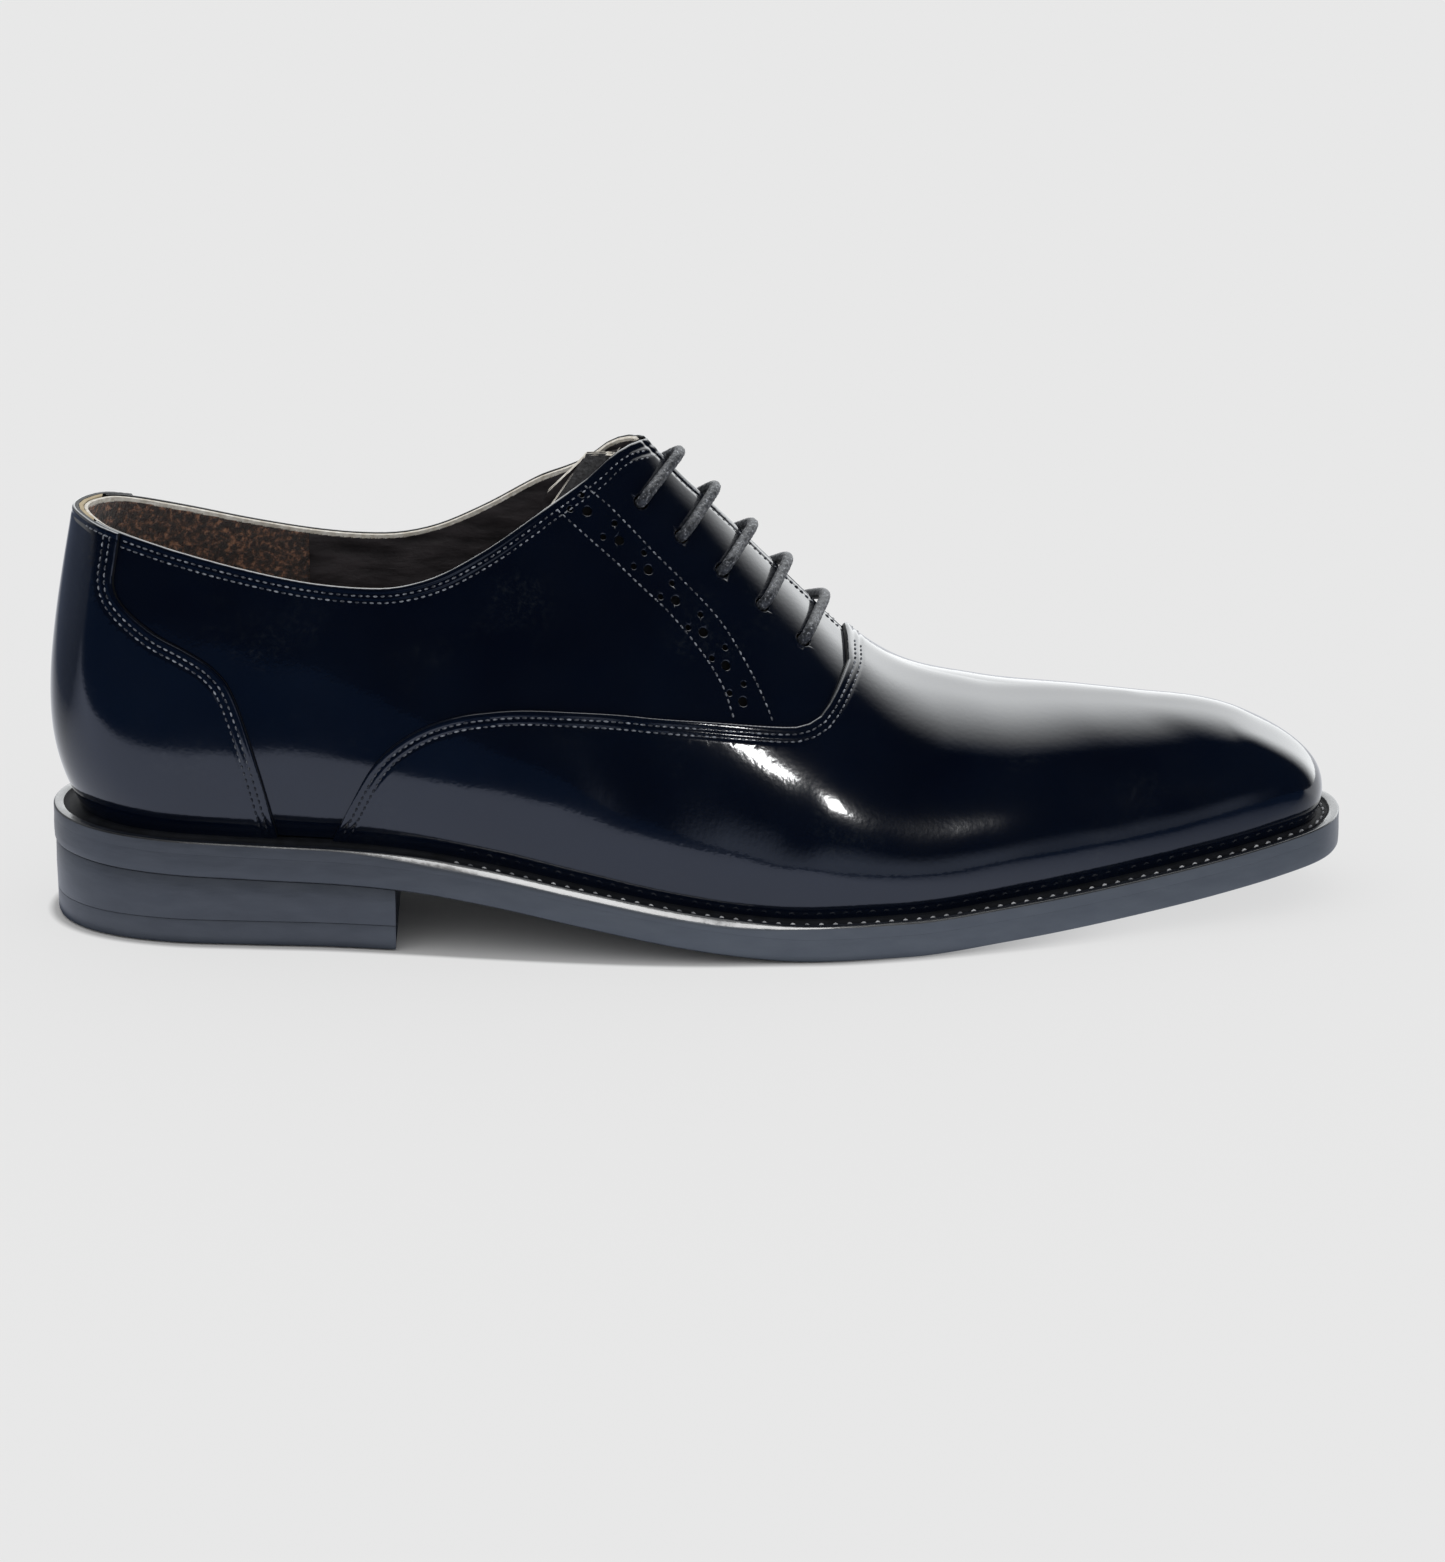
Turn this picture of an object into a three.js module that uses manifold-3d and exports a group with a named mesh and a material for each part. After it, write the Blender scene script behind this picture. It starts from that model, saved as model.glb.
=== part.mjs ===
// A man's right leather oxford shoe.
// Millimetres; +X points to the toe, +Y to the inner (medial) side, +Z up.
// The origin is the centre of the heel's flat tread, on the ground.
import * as THREE from "three";
import Module from "manifold-3d";

const wasm = await Module();
wasm.setup();

// ---- Driving dimensions -------------------------------------------------------------------

const GAP = 0.3; // between pieces that touch
const BEYOND = { back: -90, front: 300, side: 150, low: -20, high: 200 }; // limits outside the whole shoe
const SOLE_SPAN = [-60, 280]; // x, a little past both ends of the sole
const LATERAL = -1;
const MEDIAL = 1;

// Layers of the upper, as depths below the outermost surface: where each starts and ends.
const OVERLAY = [0, 1.2]; // vamp and counter
const MIDDLE = [1.5, 2.5]; // quarters, vamp backer, toe puff, heel stiffener
const LINING = [2.8, 3.6];
const TONGUE = [8.7, 9.7];
const TONGUE_LINING = [10, 10.7];
const FOOT_CAVITY = 3.9;
const LINING_DROP = 0.3; // the lining's raw edge lies this much below the outer leather's edge

// Sole and heel.
const WELT_LEDGE = 6.5; // from the feather line out to the sole's edge
const TOE_LEDGE = 5; // the same at the tip of the toe
const WELT_INSET = 4.5; // from the feather line in to the welt's inner edge
const WELT_THICKNESS = 3;
const SOLE_THICKNESS = 8.5; // welt and outsole together
const HEEL_BREAST_X = 41;
const HEEL_INSET = 0.3; // the heel stands in from the sole's edge
const TOP_LIFT = 6;
const INSOLE_THICKNESS = 2.5;
const SOCK_THICKNESS = 1;
const SHANK = { from: -18, to: 96, halfWidth: 7, lean: 3, thickness: 1.4, sunk: 0.2 };
const NAIL_RADIUS = 1;
const NAIL_END_Z = 8;
const NAILS = [
  [-22, 0],
  [-8, -14],
  [-8, 14],
  [22, -15],
  [22, 14],
];

// Lacing.
const EYELET_ROWS = 5;
const TOP_EYELET = [99.4, 101.1]; // x and z on the outer surface
const BOTTOM_EYELET = [137.2, 68.6];
const LACE_RADIUS = 1.3;
const LACE_HOLE_RADIUS = 1.9;
const EYELET_BARREL = { inner: 2.3, outer: 2.6, topDepth: 3.4 };
const EYELET_FLANGE = { radius: 3.3, thickness: 0.5, standOff: 0.9 };
const LINING_HOLE_RADIUS = 3;
const FACING_GAP = 1.4; // half the open slot between the two facings

// Ribs of the last, from the back of the heel (0) round to the tip of the toe (18). Each rib is one
// curve from the feather line up to the top of the last.
// Columns: x, lateral y and medial y of the foot of the rib; x, half width and z of its head; how far
// its lower control point stands out and up from the foot, and its upper one out and down from the head.
const RIBS = [
  [-34, 0, 0, -31, 0, 112, 13, 22, 6, 38],
  [-31.5, -10.5, 10.5, -28.5, 9, 112, 12, 22, 6, 38],
  [-23.5, -19, 19, -23, 16, 110, 9, 22, 7, 36],
  [-10, -24.5, 24.5, -10, 21, 106, 7, 22, 7, 34],
  [8, -27, 27, 8, 24, 102, 7, 22, 6, 32],
  [26, -29, 27, 27, 25, 101, 7, 22, 6, 30],
  [45, -32.5, 25.5, 44, 23.5, 104, 8, 22, 8, 30],
  [64, -36.5, 25.5, 60, 19, 110, 8, 24, 11, 28],
  [83, -40, 28.5, 75, 12, 118.5, 8, 26, 13, 22],
  [101, -42.5, 33.5, 90, 0, 123.5, 7, 28, 16, 12],
  [118, -43.5, 39.5, 112, 0, 103.5, 6, 26, 20, 9],
  [137, -43.5, 44.5, 134, 0, 81, 5, 24, 22, 5],
  [158, -41, 47, 156, 0, 60, 4.5, 20, 24, 1],
  [181, -35.5, 46, 178, 0, 52.5, 4, 18, 24, 0],
  [205, -28, 40.5, 203, 0, 50, 3.5, 16, 20, 0],
  [229, -20.5, 31, 225, 0, 48, 3, 14, 17, 0],
  [246.5, -14, 23, 231, 0, 47.2, 4, 13, 17, 0],
  [257.5, -7, 15.5, 231, 0, 47.2, 4.5, 13, 19, 0],
  [261, 4.5, 4.5, 231, 0, 47.2, 5, 13, 21, 0],
];
const LAST_RIB = RIBS.length - 1;
const TOE_SLOPE_RIBS = [13, 16]; // between these the top of the toe starts to slope down
const TOE_SLOPE = 0.3;
const FAN_RIB = 16; // from here on the ribs fan out from one point on the ridge
const CLOSED_RIBS = [9, 15]; // between these the heads of the ribs run along the ridge
const TOE_LEDGE_RIB = 15; // from here on the sole's ledge narrows towards the toe

// Centre line of the top of the last: x and y.
const RIDGE = [
  [-40, 0],
  [60, 0],
  [100, 1.5],
  [150, 3],
  [200, 4],
  [264, 4.5],
];
// Top of the welt, where the upper stands: x and z.
const SEAT = [
  [-41, 26.5],
  [-20, 25.4],
  [10, 24.4],
  [41, 23.2],
  [62, 20.6],
  [85, 16.2],
  [108, 11.8],
  [128, 9],
  [140, 8.5],
  [160, 8.5],
  [182, 10],
  [205, 12],
  [230, 15.2],
  [268, 21],
];
// Lines of the upper in the side view: x and z.
const TOPLINE = [
  [-45, 98.5],
  [-32, 98],
  [-23, 96],
  [-8, 92],
  [8, 88],
  [24, 85],
  [38, 84],
  [50, 86],
  [62, 91.6],
  [75, 99.5],
  [86, 105.6],
  [92, 110.3],
  [96, 112.2],
  [99.5, 112.7],
  [104, 112.5],
];
const COUNTER_EDGE = [
  [-20, 104],
  [-22.5, 90],
  [-23.3, 83.5],
  [-21, 79],
  [-14, 73.4],
  [-6.4, 69.6],
  [0, 65.4],
  [4.4, 58.9],
  [9.5, 41.7],
  [14.5, 20],
];
const WING_EDGE = [
  [22, 14],
  [30.8, 33.5],
  [36.6, 44],
  [43.2, 50.1],
  [51, 54.2],
  [61, 56.6],
  [77, 57.3],
  [109, 54.4],
  [131, 51.6],
  [137, 51.8],
  [141, 54],
  [145.8, 60.3],
  [147.4, 64],
  [148, 90],
];
// How far the quarter runs on under the vamp and under the counter.
const UNDERLAP_INNER_EDGE = [
  [34, 6],
  [40, 30],
  [46, 39],
  [56, 44.5],
  [77, 47],
  [109, 44],
  [132, 40.5],
  [146, 44],
  [153, 52],
  [156, 58],
  [157, 90],
];
const COUNTER_UNDERLAP = 6;
const TOE_PUFF_EDGE = [
  [222, 0],
  [212, 80],
];
const LINING_SEAM = [
  [112, 0],
  [152, 90],
];
const HEEL_GRIP_SEAM_X = 20;

// Punched holes in the quarter: a curved row of groups, each two small holes and a larger one.
const PUNCH_ROW = [
  [0, 85.4, 100.8],
  [1, 92.4, 94.6],
  [2, 99.6, 88.2],
  [3, 106, 81.3],
  [4, 112.3, 74.2],
  [5, 117.6, 67],
  [6, 121.5, 59.2],
];
const PUNCH_SMALL_RADIUS = 0.65;
const PUNCH_LARGE_RADIUS = 1.1;
const PUNCH_SPREAD = 1.9; // small holes to each side of the row
const PUNCH_LEAD = 1.6; // along the row, from a group's centre to its holes

// ---- Curves -------------------------------------------------------------------------------

// A smooth curve through rows [t, value, ...]: gives the list of values at any t. The columns in
// `level` start and end without a slope.
function through(rows, level = []) {
  const last = rows.length - 1;
  const slopes = rows.map((row, i) => {
    const before = rows[Math.max(i - 1, 0)];
    const after = rows[Math.min(i + 1, last)];
    const inside = i > 0 && i < last;
    const turns = (c) => inside && (after[c] - row[c]) * (row[c] - before[c]) <= 0;
    const flat = (c) => turns(c) || (!inside && level.includes(c));
    return row.map((_, c) => (flat(c) ? 0 : (after[c] - before[c]) / (after[0] - before[0])));
  });
  return (t) => {
    const held = Math.min(Math.max(t, rows[0][0]), rows[last][0]);
    const i = Math.max(0, rows.findIndex((row) => row[0] >= held) - 1);
    const span = rows[i + 1][0] - rows[i][0];
    const s = (held - rows[i][0]) / span;
    const start = 2 * s ** 3 - 3 * s ** 2 + 1;
    const leave = (s ** 3 - 2 * s ** 2 + s) * span;
    const arrive = (s ** 3 - s ** 2) * span;
    const blend = (a, c) =>
      start * a + (1 - start) * rows[i + 1][c] + leave * slopes[i][c] + arrive * slopes[i + 1][c];
    return rows[i].map(blend).slice(1);
  };
}
const RIB_FOOT_X = 1;
const RIB_HEAD_X = 4;
const ribAt = through(
  RIBS.map((row, i) => [i, ...row]),
  [RIB_FOOT_X, RIB_HEAD_X],
);
const seatCurve = through(SEAT);
const ridgeCurve = through(RIDGE);
const toplineCurve = through(TOPLINE);
const seat = (x) => seatCurve(x)[0];
const ridge = (x) => ridgeCurve(x)[0];
const tread = (x) => Math.max(0, seat(x) - SOLE_THICKNESS);

// Points along a smooth curve through a few side-view points.
function smoothLine(points, count) {
  const curve = new THREE.SplineCurve(points.map(([x, z]) => new THREE.Vector2(x, z)));
  return curve.getSpacedPoints(count).map((p) => [p.x, p.y]);
}

// Evenly spaced numbers from a to b.
function steps(a, b, count) {
  return Array.from({ length: count + 1 }, (_, i) => a + ((b - a) * i) / count);
}

// ---- The last -----------------------------------------------------------------------------

// Foot of rib k on one side, and the direction that points out of the shoe there.
function foot(k, side) {
  const at = (rib) => {
    const [x, lateral, medial] = ribAt(rib);
    return new THREE.Vector2(x, side === LATERAL ? lateral : medial);
  };
  const along = at(Math.min(k + 0.1, LAST_RIB)).sub(at(Math.max(k - 0.1, 0)));
  if (k === 0) along.set(0, side);
  if (k === LAST_RIB) along.set(0, -side);
  const out = new THREE.Vector2(-along.y, along.x).multiplyScalar(side).normalize();
  return { point: at(k), out };
}

// A point of the last's surface: rib k, fraction v of the way up it, side.
function lastPoint(k, v, side) {
  const [, , , headX, headHalf, headZ, lowerOut, lowerUp, upperOut, upperDown] = ribAt(k);
  const { point, out } = foot(k, side);
  const slope = TOE_SLOPE * THREE.MathUtils.smoothstep(k, ...TOE_SLOPE_RIBS);
  const bottom = new THREE.Vector3(point.x, point.y, seat(point.x));
  const lower = new THREE.Vector3(out.x * lowerOut, out.y * lowerOut, lowerUp).add(bottom);
  const head = new THREE.Vector3(headX, ridge(headX) + side * Math.max(headHalf, 0), headZ);
  const drop = -upperDown - slope * out.x * upperOut;
  const upper = new THREE.Vector3(out.x * upperOut, out.y * upperOut, drop).add(head);
  return new THREE.CubicBezierCurve3(bottom, lower, upper, head).getPoint(v);
}

// The outward normal of the surface. Points shared by both sides, along the ridge and at the middle of
// the heel and the toe, take the average of the two.
function lastNormal(k, v, side) {
  const closedTop = v === 1 && ribAt(k)[4] <= 0;
  if (k === 0 || k === LAST_RIB || closedTop) {
    const rib = closedTop ? Math.min(k, FAN_RIB) : k;
    const both = sideNormal(rib, v, LATERAL).add(sideNormal(rib, v, MEDIAL));
    return both.setY(0).normalize();
  }
  const normal = sideNormal(k, v, side);
  if (v === 1) normal.z = 0;
  return normal.normalize();
}

function sideNormal(k, v, side) {
  const step = 0.02;
  const heldV = Math.min(Math.max(v, step), 1 - step);
  const heldK = Math.min(Math.max(k, step), LAST_RIB - step);
  const along = lastPoint(heldK + step, heldV, side).sub(lastPoint(heldK - step, heldV, side));
  const up = lastPoint(heldK, heldV + step, side).sub(lastPoint(heldK, heldV - step, side));
  return along.cross(up).multiplyScalar(-side).normalize();
}

// The surface point and normal where the side view has the given x and z.
function onSurface(x, z, side) {
  const [heelX, toeX] = [RIBS[0][0], RIBS[LAST_RIB][0]];
  let k = (LAST_RIB * (x - heelX)) / (toeX - heelX);
  let v = 0.7;
  const step = 0.01;
  for (let round = 0; round < 30; round++) {
    const here = lastPoint(k, v, side);
    const dk = lastPoint(k + step, v, side).sub(here).divideScalar(step);
    const dv = lastPoint(k, v + step, side).sub(here).divideScalar(step);
    const det = dk.x * dv.z - dv.x * dk.z;
    const missX = x - here.x;
    const missZ = z - here.z;
    k += (missX * dv.z - missZ * dv.x) / det;
    v += (missZ * dk.x - missX * dk.z) / det;
    k = Math.min(Math.max(k, 0.01), LAST_RIB - 0.02);
    v = Math.min(Math.max(v, 0.01), 0.98);
  }
  return { point: lastPoint(k, v, side), normal: lastNormal(k, v, side), k, v };
}

// ---- Solids -------------------------------------------------------------------------------

// A solid from triangles given as corner points; corners at the same place become one vertex.
function solidOf(triangles) {
  const index = new Map();
  const positions = [];
  const corners = [];
  for (const triangle of triangles) {
    const ids = triangle.map((p) => {
      const key = [p.x, p.y, p.z].map((c) => Math.round(c * 1e4)).join();
      if (!index.has(key)) {
        index.set(key, index.size);
        positions.push(p.x, p.y, p.z);
      }
      return index.get(key);
    });
    if (new Set(ids).size === 3) corners.push(...ids);
  }
  const mesh = new wasm.Mesh({
    numProp: 3,
    vertProperties: new Float32Array(positions),
    triVerts: new Uint32Array(corners),
  });
  return new wasm.Manifold(mesh);
}

function solidOfGeometry(geometry) {
  const flat = geometry.index ? geometry.toNonIndexed() : geometry;
  const position = flat.getAttribute("position");
  const triangles = [];
  for (let i = 0; i < position.count; i += 3) {
    triangles.push([0, 1, 2].map((c) => new THREE.Vector3().fromBufferAttribute(position, i + c)));
  }
  return solidOf(triangles);
}

// The last shrunk by `depth` (a number, or a function of x): a closed solid that runs on below the
// feather line.
function lastSolid(depth) {
  const depthAt = typeof depth === "number" ? () => depth : depth;
  const skirt = 6;
  const ks = [...steps(0, 2, 4), ...steps(2, 15, 18).slice(1), ...steps(15, LAST_RIB, 8).slice(1)];
  const vs = [0, 0.14, 0.32, 0.5, 0.67, 0.81, 0.92, 1];
  const column = (k, side) => {
    const points = vs.map((v) => {
      const point = lastPoint(k, v, side);
      return point.addScaledVector(lastNormal(k, v, side), -depthAt(point.x));
    });
    const below = points[0].clone();
    below.z -= skirt;
    return [below, ...points];
  };
  const triangles = [];
  const quad = (a, b, c, d) => triangles.push([a, b, c], [a, c, d]);
  const lateral = ks.map((k) => column(k, LATERAL));
  const medial = ks.map((k) => column(k, MEDIAL));
  const top = vs.length;
  for (let i = 0; i + 1 < ks.length; i++) {
    for (let j = 0; j < top; j++) {
      quad(lateral[i][j], lateral[i + 1][j], lateral[i + 1][j + 1], lateral[i][j + 1]);
      quad(medial[i][j], medial[i][j + 1], medial[i + 1][j + 1], medial[i + 1][j]);
    }
    quad(lateral[i][top], lateral[i + 1][top], medial[i + 1][top], medial[i][top]);
    quad(lateral[i][0], medial[i][0], medial[i + 1][0], lateral[i + 1][0]);
  }
  return solidOf(triangles);
}

// A layer of the upper between two depths.
const layer = ([outer, inner]) => lastSolid(outer).subtract(lastSolid(inner));

// A prism with a side-view outline, running straight through the shoe in y.
function sidePrism(outline) {
  const shape = new THREE.Shape(outline.map(([x, z]) => new THREE.Vector2(x, z)));
  const geometry = new THREE.ExtrudeGeometry(shape, { depth: 2 * BEYOND.side, bevelEnabled: false });
  return solidOfGeometry(geometry.rotateX(Math.PI / 2).translate(0, BEYOND.side, 0));
}

// A prism with a plan outline, from below the ground to above the shoe.
function planPrism(outline) {
  const shape = new THREE.Shape(outline.map(([x, y]) => new THREE.Vector2(x, y)));
  const depth = BEYOND.high - BEYOND.low;
  const geometry = new THREE.ExtrudeGeometry(shape, { depth, bevelEnabled: false });
  return solidOfGeometry(geometry.translate(0, 0, BEYOND.low));
}

// A band of the side view between two heights that vary along x.
function sideBand(low, high, from = SOLE_SPAN[0], to = SOLE_SPAN[1], count = 34) {
  const xs = steps(from, to, count);
  const floor = xs.map((x) => [x, low(x)]);
  const ceiling = xs.reverse().map((x) => [x, high(x)]);
  return sidePrism([...floor, ...ceiling]);
}

// A closed plan outline: the feather line pushed outward by `offset`, or by less at the toe.
function planOutline(offset, toeOffset = offset) {
  const ks = [...steps(0, 2, 6), ...steps(2, 15, 20).slice(1), ...steps(15, LAST_RIB, 10).slice(1)];
  const at = (k, side) => {
    const { point, out } = foot(k, side);
    const nearToe = Math.max(0, (k - TOE_LEDGE_RIB) / (LAST_RIB - TOE_LEDGE_RIB));
    const reach = offset + (toeOffset - offset) * nearToe;
    return [point.x + out.x * reach, point.y + out.y * reach];
  };
  const lateral = ks.slice(0, -1).map((k) => at(k, LATERAL));
  const medial = ks.slice(1).map((k) => at(k, MEDIAL));
  return [...lateral, ...medial.reverse()];
}

// A round bar along a line from a point, in a direction.
function bar(point, direction, from, to, radius, sides = 8) {
  const geometry = new THREE.CylinderGeometry(radius, radius, to - from, sides);
  geometry.translate(0, (from + to) / 2, 0);
  return solidOfGeometry(turned(geometry, point, direction));
}

// A geometry made about the y axis, turned so that y points along `direction`, and moved to `point`.
function turned(geometry, point, direction) {
  const up = new THREE.Vector3(0, 1, 0);
  geometry.applyQuaternion(new THREE.Quaternion().setFromUnitVectors(up, direction));
  return geometry.translate(point.x, point.y, point.z);
}

// A round cord through points.
function cord(points, radius, spacing) {
  const sides = 6;
  const curve = new THREE.CatmullRomCurve3(points, false, "centripetal");
  const count = Math.round(curve.getLength() / spacing);
  const centres = curve.getSpacedPoints(count);
  const { normals, binormals } = curve.computeFrenetFrames(count, false);
  const rings = centres.map((centre, i) =>
    steps(0, 2 * Math.PI, sides).map((angle, j) => {
      const turn = j === sides ? 0 : angle;
      return centre
        .clone()
        .addScaledVector(normals[i], Math.cos(turn) * radius)
        .addScaledVector(binormals[i], Math.sin(turn) * radius);
    }),
  );
  const triangles = [];
  for (let j = 0; j < sides; j++) {
    for (let i = 0; i < count; i++) {
      const [a, b, c, d] = [rings[i][j], rings[i][j + 1], rings[i + 1][j + 1], rings[i + 1][j]];
      triangles.push([a, b, c], [a, c, d]);
    }
    triangles.push([centres[0], rings[0][j + 1], rings[0][j]]);
    triangles.push([centres[count], rings[count][j], rings[count][j + 1]]);
  }
  const solid = solidOf(triangles);
  return { solid, end: centres[count], direction: centres[count].clone().sub(centres[count - 1]) };
}

const cutAll = (solid, cutters) => cutters.reduce((rest, cutter) => rest.subtract(cutter), solid);

// ---- Regions of the upper -----------------------------------------------------------------

const { back, front, low: bottom, high: top } = BEYOND;
const standing = sideBand((x) => seat(x) + GAP, () => top);

// Everything below the topline, raised by `rise`; in front of the facings' top there is no limit.
function belowTopline(rise) {
  const [first, last] = [TOPLINE[0], TOPLINE[TOPLINE.length - 1]];
  const edge = steps(last[0], first[0], 26).map((x) => [x, toplineCurve(x)[0] + rise]);
  const ahead = [[back, bottom], [front, bottom], [front, top], [last[0], top]];
  return sidePrism([...ahead, ...edge, [back, first[1] + rise]]);
}

// Everything behind a side-view line that runs from the top of the shoe to its bottom.
function behind(line, count, shift = 0, drop = 0) {
  const edge = smoothLine(line, count).map(([x, z]) => [x + shift, z - drop]);
  const [first, last] = [edge[0], edge[edge.length - 1]];
  const [start, end] = first[1] < last[1] ? [bottom, top] : [top, bottom];
  return sidePrism([[back, start], [first[0], start], ...edge, [last[0], end], [back, end]]);
}

// One side of the shoe, up to the slot between the facings.
function halfOf(side) {
  const edge = steps(back, front, 39).map((x) => [x, ridge(x) + side * FACING_GAP]);
  return planPrism([...edge, [front, side * BEYOND.side], [back, side * BEYOND.side]]);
}

// ---- Sole and heel ------------------------------------------------------------------------

function nailHoles() {
  const up = new THREE.Vector3(0, 0, 1);
  const at = ([x, y]) => new THREE.Vector3(x, y, 0);
  return NAILS.map((nail) => bar(at(nail), up, NAIL_END_Z - GAP, 60, NAIL_RADIUS + GAP));
}

// Heights measured down from the top of the welt.
const below = (drop) => (x) => seat(x) - drop;

function makeWeltAndOutsole() {
  const whole = planPrism(planOutline(WELT_LEDGE, TOE_LEDGE));
  const insideWelt = planPrism(planOutline(-WELT_INSET));
  const weltBand = sideBand(below(WELT_THICKNESS), seat);
  const outsole = whole.intersect(sideBand(tread, below(WELT_THICKNESS + GAP)));
  add("outsole", cutAll(outsole, nailHoles()), 0x3a3d42);
  add("welt", whole.subtract(insideWelt).intersect(weltBand), 0x16171a);
}

function makeHeel() {
  const heelPlan = planPrism(planOutline(WELT_LEDGE - HEEL_INSET));
  const toBreast = (low, high) => sideBand(low, high, SOLE_SPAN[0], HEEL_BREAST_X, 10);
  const stack = heelPlan.intersect(toBreast(() => TOP_LIFT + GAP, (x) => tread(x) - GAP));
  add("heel_stack", cutAll(stack, nailHoles()), 0x3a3d42);
  add("heel_top_lift", heelPlan.intersect(toBreast(() => 0, () => TOP_LIFT)), 0x2b2d31);
  NAILS.forEach((nail, i) => add(`heel_nail_${i + 1}`, makeNail(nail), 0xa9abb0));
}

// The filler lies inside the welt, with the shank let into its top; insole and sock lie over it.
function makeInside() {
  const insideWelt = planPrism(planOutline(-WELT_INSET - GAP));
  const shankBottom = SHANK.sunk + SHANK.thickness;
  const shank = shankPrism(0).intersect(sideBand(below(shankBottom), below(SHANK.sunk)));
  const pocket = shankPrism(GAP).intersect(sideBand(below(shankBottom + GAP), below(-WELT_THICKNESS)));
  const filler = insideWelt.intersect(sideBand(below(WELT_THICKNESS), seat)).subtract(pocket);
  const cavity = lastSolid(FOOT_CAVITY);
  const insoleTop = GAP + INSOLE_THICKNESS;
  const insole = cavity.intersect(sideBand(below(-GAP), below(-insoleTop)));
  const sockBand = sideBand(below(-insoleTop - GAP), below(-insoleTop - GAP - SOCK_THICKNESS));
  add("cork_filler", cutAll(filler, nailHoles()), 0x8a6a48);
  add("shank", shank, 0x9a9ca0);
  add("insole", cutAll(insole, nailHoles()), 0xa07a52);
  add("sock_liner", cavity.intersect(sockBand), 0x3a2b22);
}

function shankPrism(grow) {
  const halfWidth = SHANK.halfWidth + grow;
  const [from, to] = [SHANK.from - grow, SHANK.to + grow];
  const [near, far] = [-halfWidth - SHANK.lean, halfWidth - SHANK.lean];
  return planPrism([[from, -halfWidth], [to, near], [to, far], [from, halfWidth]]);
}

function makeNail([x, y]) {
  const topZ = seat(x) + INSOLE_THICKNESS - GAP;
  return bar(new THREE.Vector3(x, y, 0), new THREE.Vector3(0, 0, 1), NAIL_END_Z, topZ, NAIL_RADIUS);
}

// ---- Upper --------------------------------------------------------------------------------

function makeVampAndCounter() {
  const outer = layer(OVERLAY).intersect(standing);
  const counterRegion = behind(COUNTER_EDGE, 14).intersect(belowTopline(0));
  add("vamp", outer.subtract(behind(WING_EDGE, 22)), 0x111214);
  add("counter", outer.intersect(counterRegion), 0x111214);
}

function makeMiddleLayer() {
  const middle = layer(MIDDLE).intersect(standing).intersect(belowTopline(0));
  const behindUnderlap = behind(UNDERLAP_INNER_EDGE, 16);
  const stiffenerRegion = behind(COUNTER_EDGE, 14, -COUNTER_UNDERLAP - GAP);
  const behindQuarter = behind(COUNTER_EDGE, 14, -COUNTER_UNDERLAP);
  const quarters = middle.intersect(behindUnderlap).subtract(behindQuarter);
  const forepart = middle.subtract(behind(UNDERLAP_INNER_EDGE, 16, GAP, GAP));
  const behindPuff = behind(TOE_PUFF_EDGE, 1);
  [LATERAL, MEDIAL].forEach((side) => {
    const holes = [...eyeletBars(side, LACE_HOLE_RADIUS), ...punchedHoles(side)];
    add(`quarter_${nameOf(side)}`, cutAll(quarters.intersect(halfOf(side)), holes), 0x111214);
  });
  add("heel_stiffener", middle.intersect(stiffenerRegion), 0xb9a684);
  add("vamp_backer", forepart.intersect(behindPuff), 0xcfc9bb);
  add("toe_puff", forepart.subtract(behind(TOE_PUFF_EDGE, 1, GAP)), 0xb9a684);
}

function makeLining() {
  const lining = layer(LINING).intersect(standing).intersect(belowTopline(-LINING_DROP));
  const behindSeam = behind(LINING_SEAM, 1);
  const heelSide = (x) => sidePrism([[back, bottom], [x, bottom], [x, top], [back, top]]);
  const quarterLining = lining.intersect(behindSeam).subtract(heelSide(HEEL_GRIP_SEAM_X + GAP));
  add("heel_grip", lining.intersect(heelSide(HEEL_GRIP_SEAM_X)), 0x5b3426);
  [LATERAL, MEDIAL].forEach((side) => {
    const half = quarterLining.intersect(halfOf(side));
    add(`quarter_lining_${nameOf(side)}`, cutAll(half, eyeletBars(side, LINING_HOLE_RADIUS)), 0x2f2522);
  });
  add("vamp_lining", lining.subtract(behind(LINING_SEAM, 1, GAP)), 0x6b5a48);
}

const nameOf = (side) => (side === LATERAL ? "lateral" : "medial");

// Where one side's eyelets sit on the outermost surface, top row first.
function findEyelets(side) {
  return steps(0, 1, EYELET_ROWS - 1).map((t) => {
    const x = TOP_EYELET[0] + t * (BOTTOM_EYELET[0] - TOP_EYELET[0]);
    const z = TOP_EYELET[1] + t * (BOTTOM_EYELET[1] - TOP_EYELET[1]);
    return onSurface(x, z, side);
  });
}

const EYELETS = { [LATERAL]: findEyelets(LATERAL), [MEDIAL]: findEyelets(MEDIAL) };
const HOLE_DEPTH = 8; // how far in from the outermost surface a lace hole is cut

// Bars that cut round holes through the layers at the eyelets.
function eyeletBars(side, radius) {
  return EYELETS[side].map(({ point, normal }) => bar(point, normal, -HOLE_DEPTH, HOLE_DEPTH / 2, radius));
}

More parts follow.
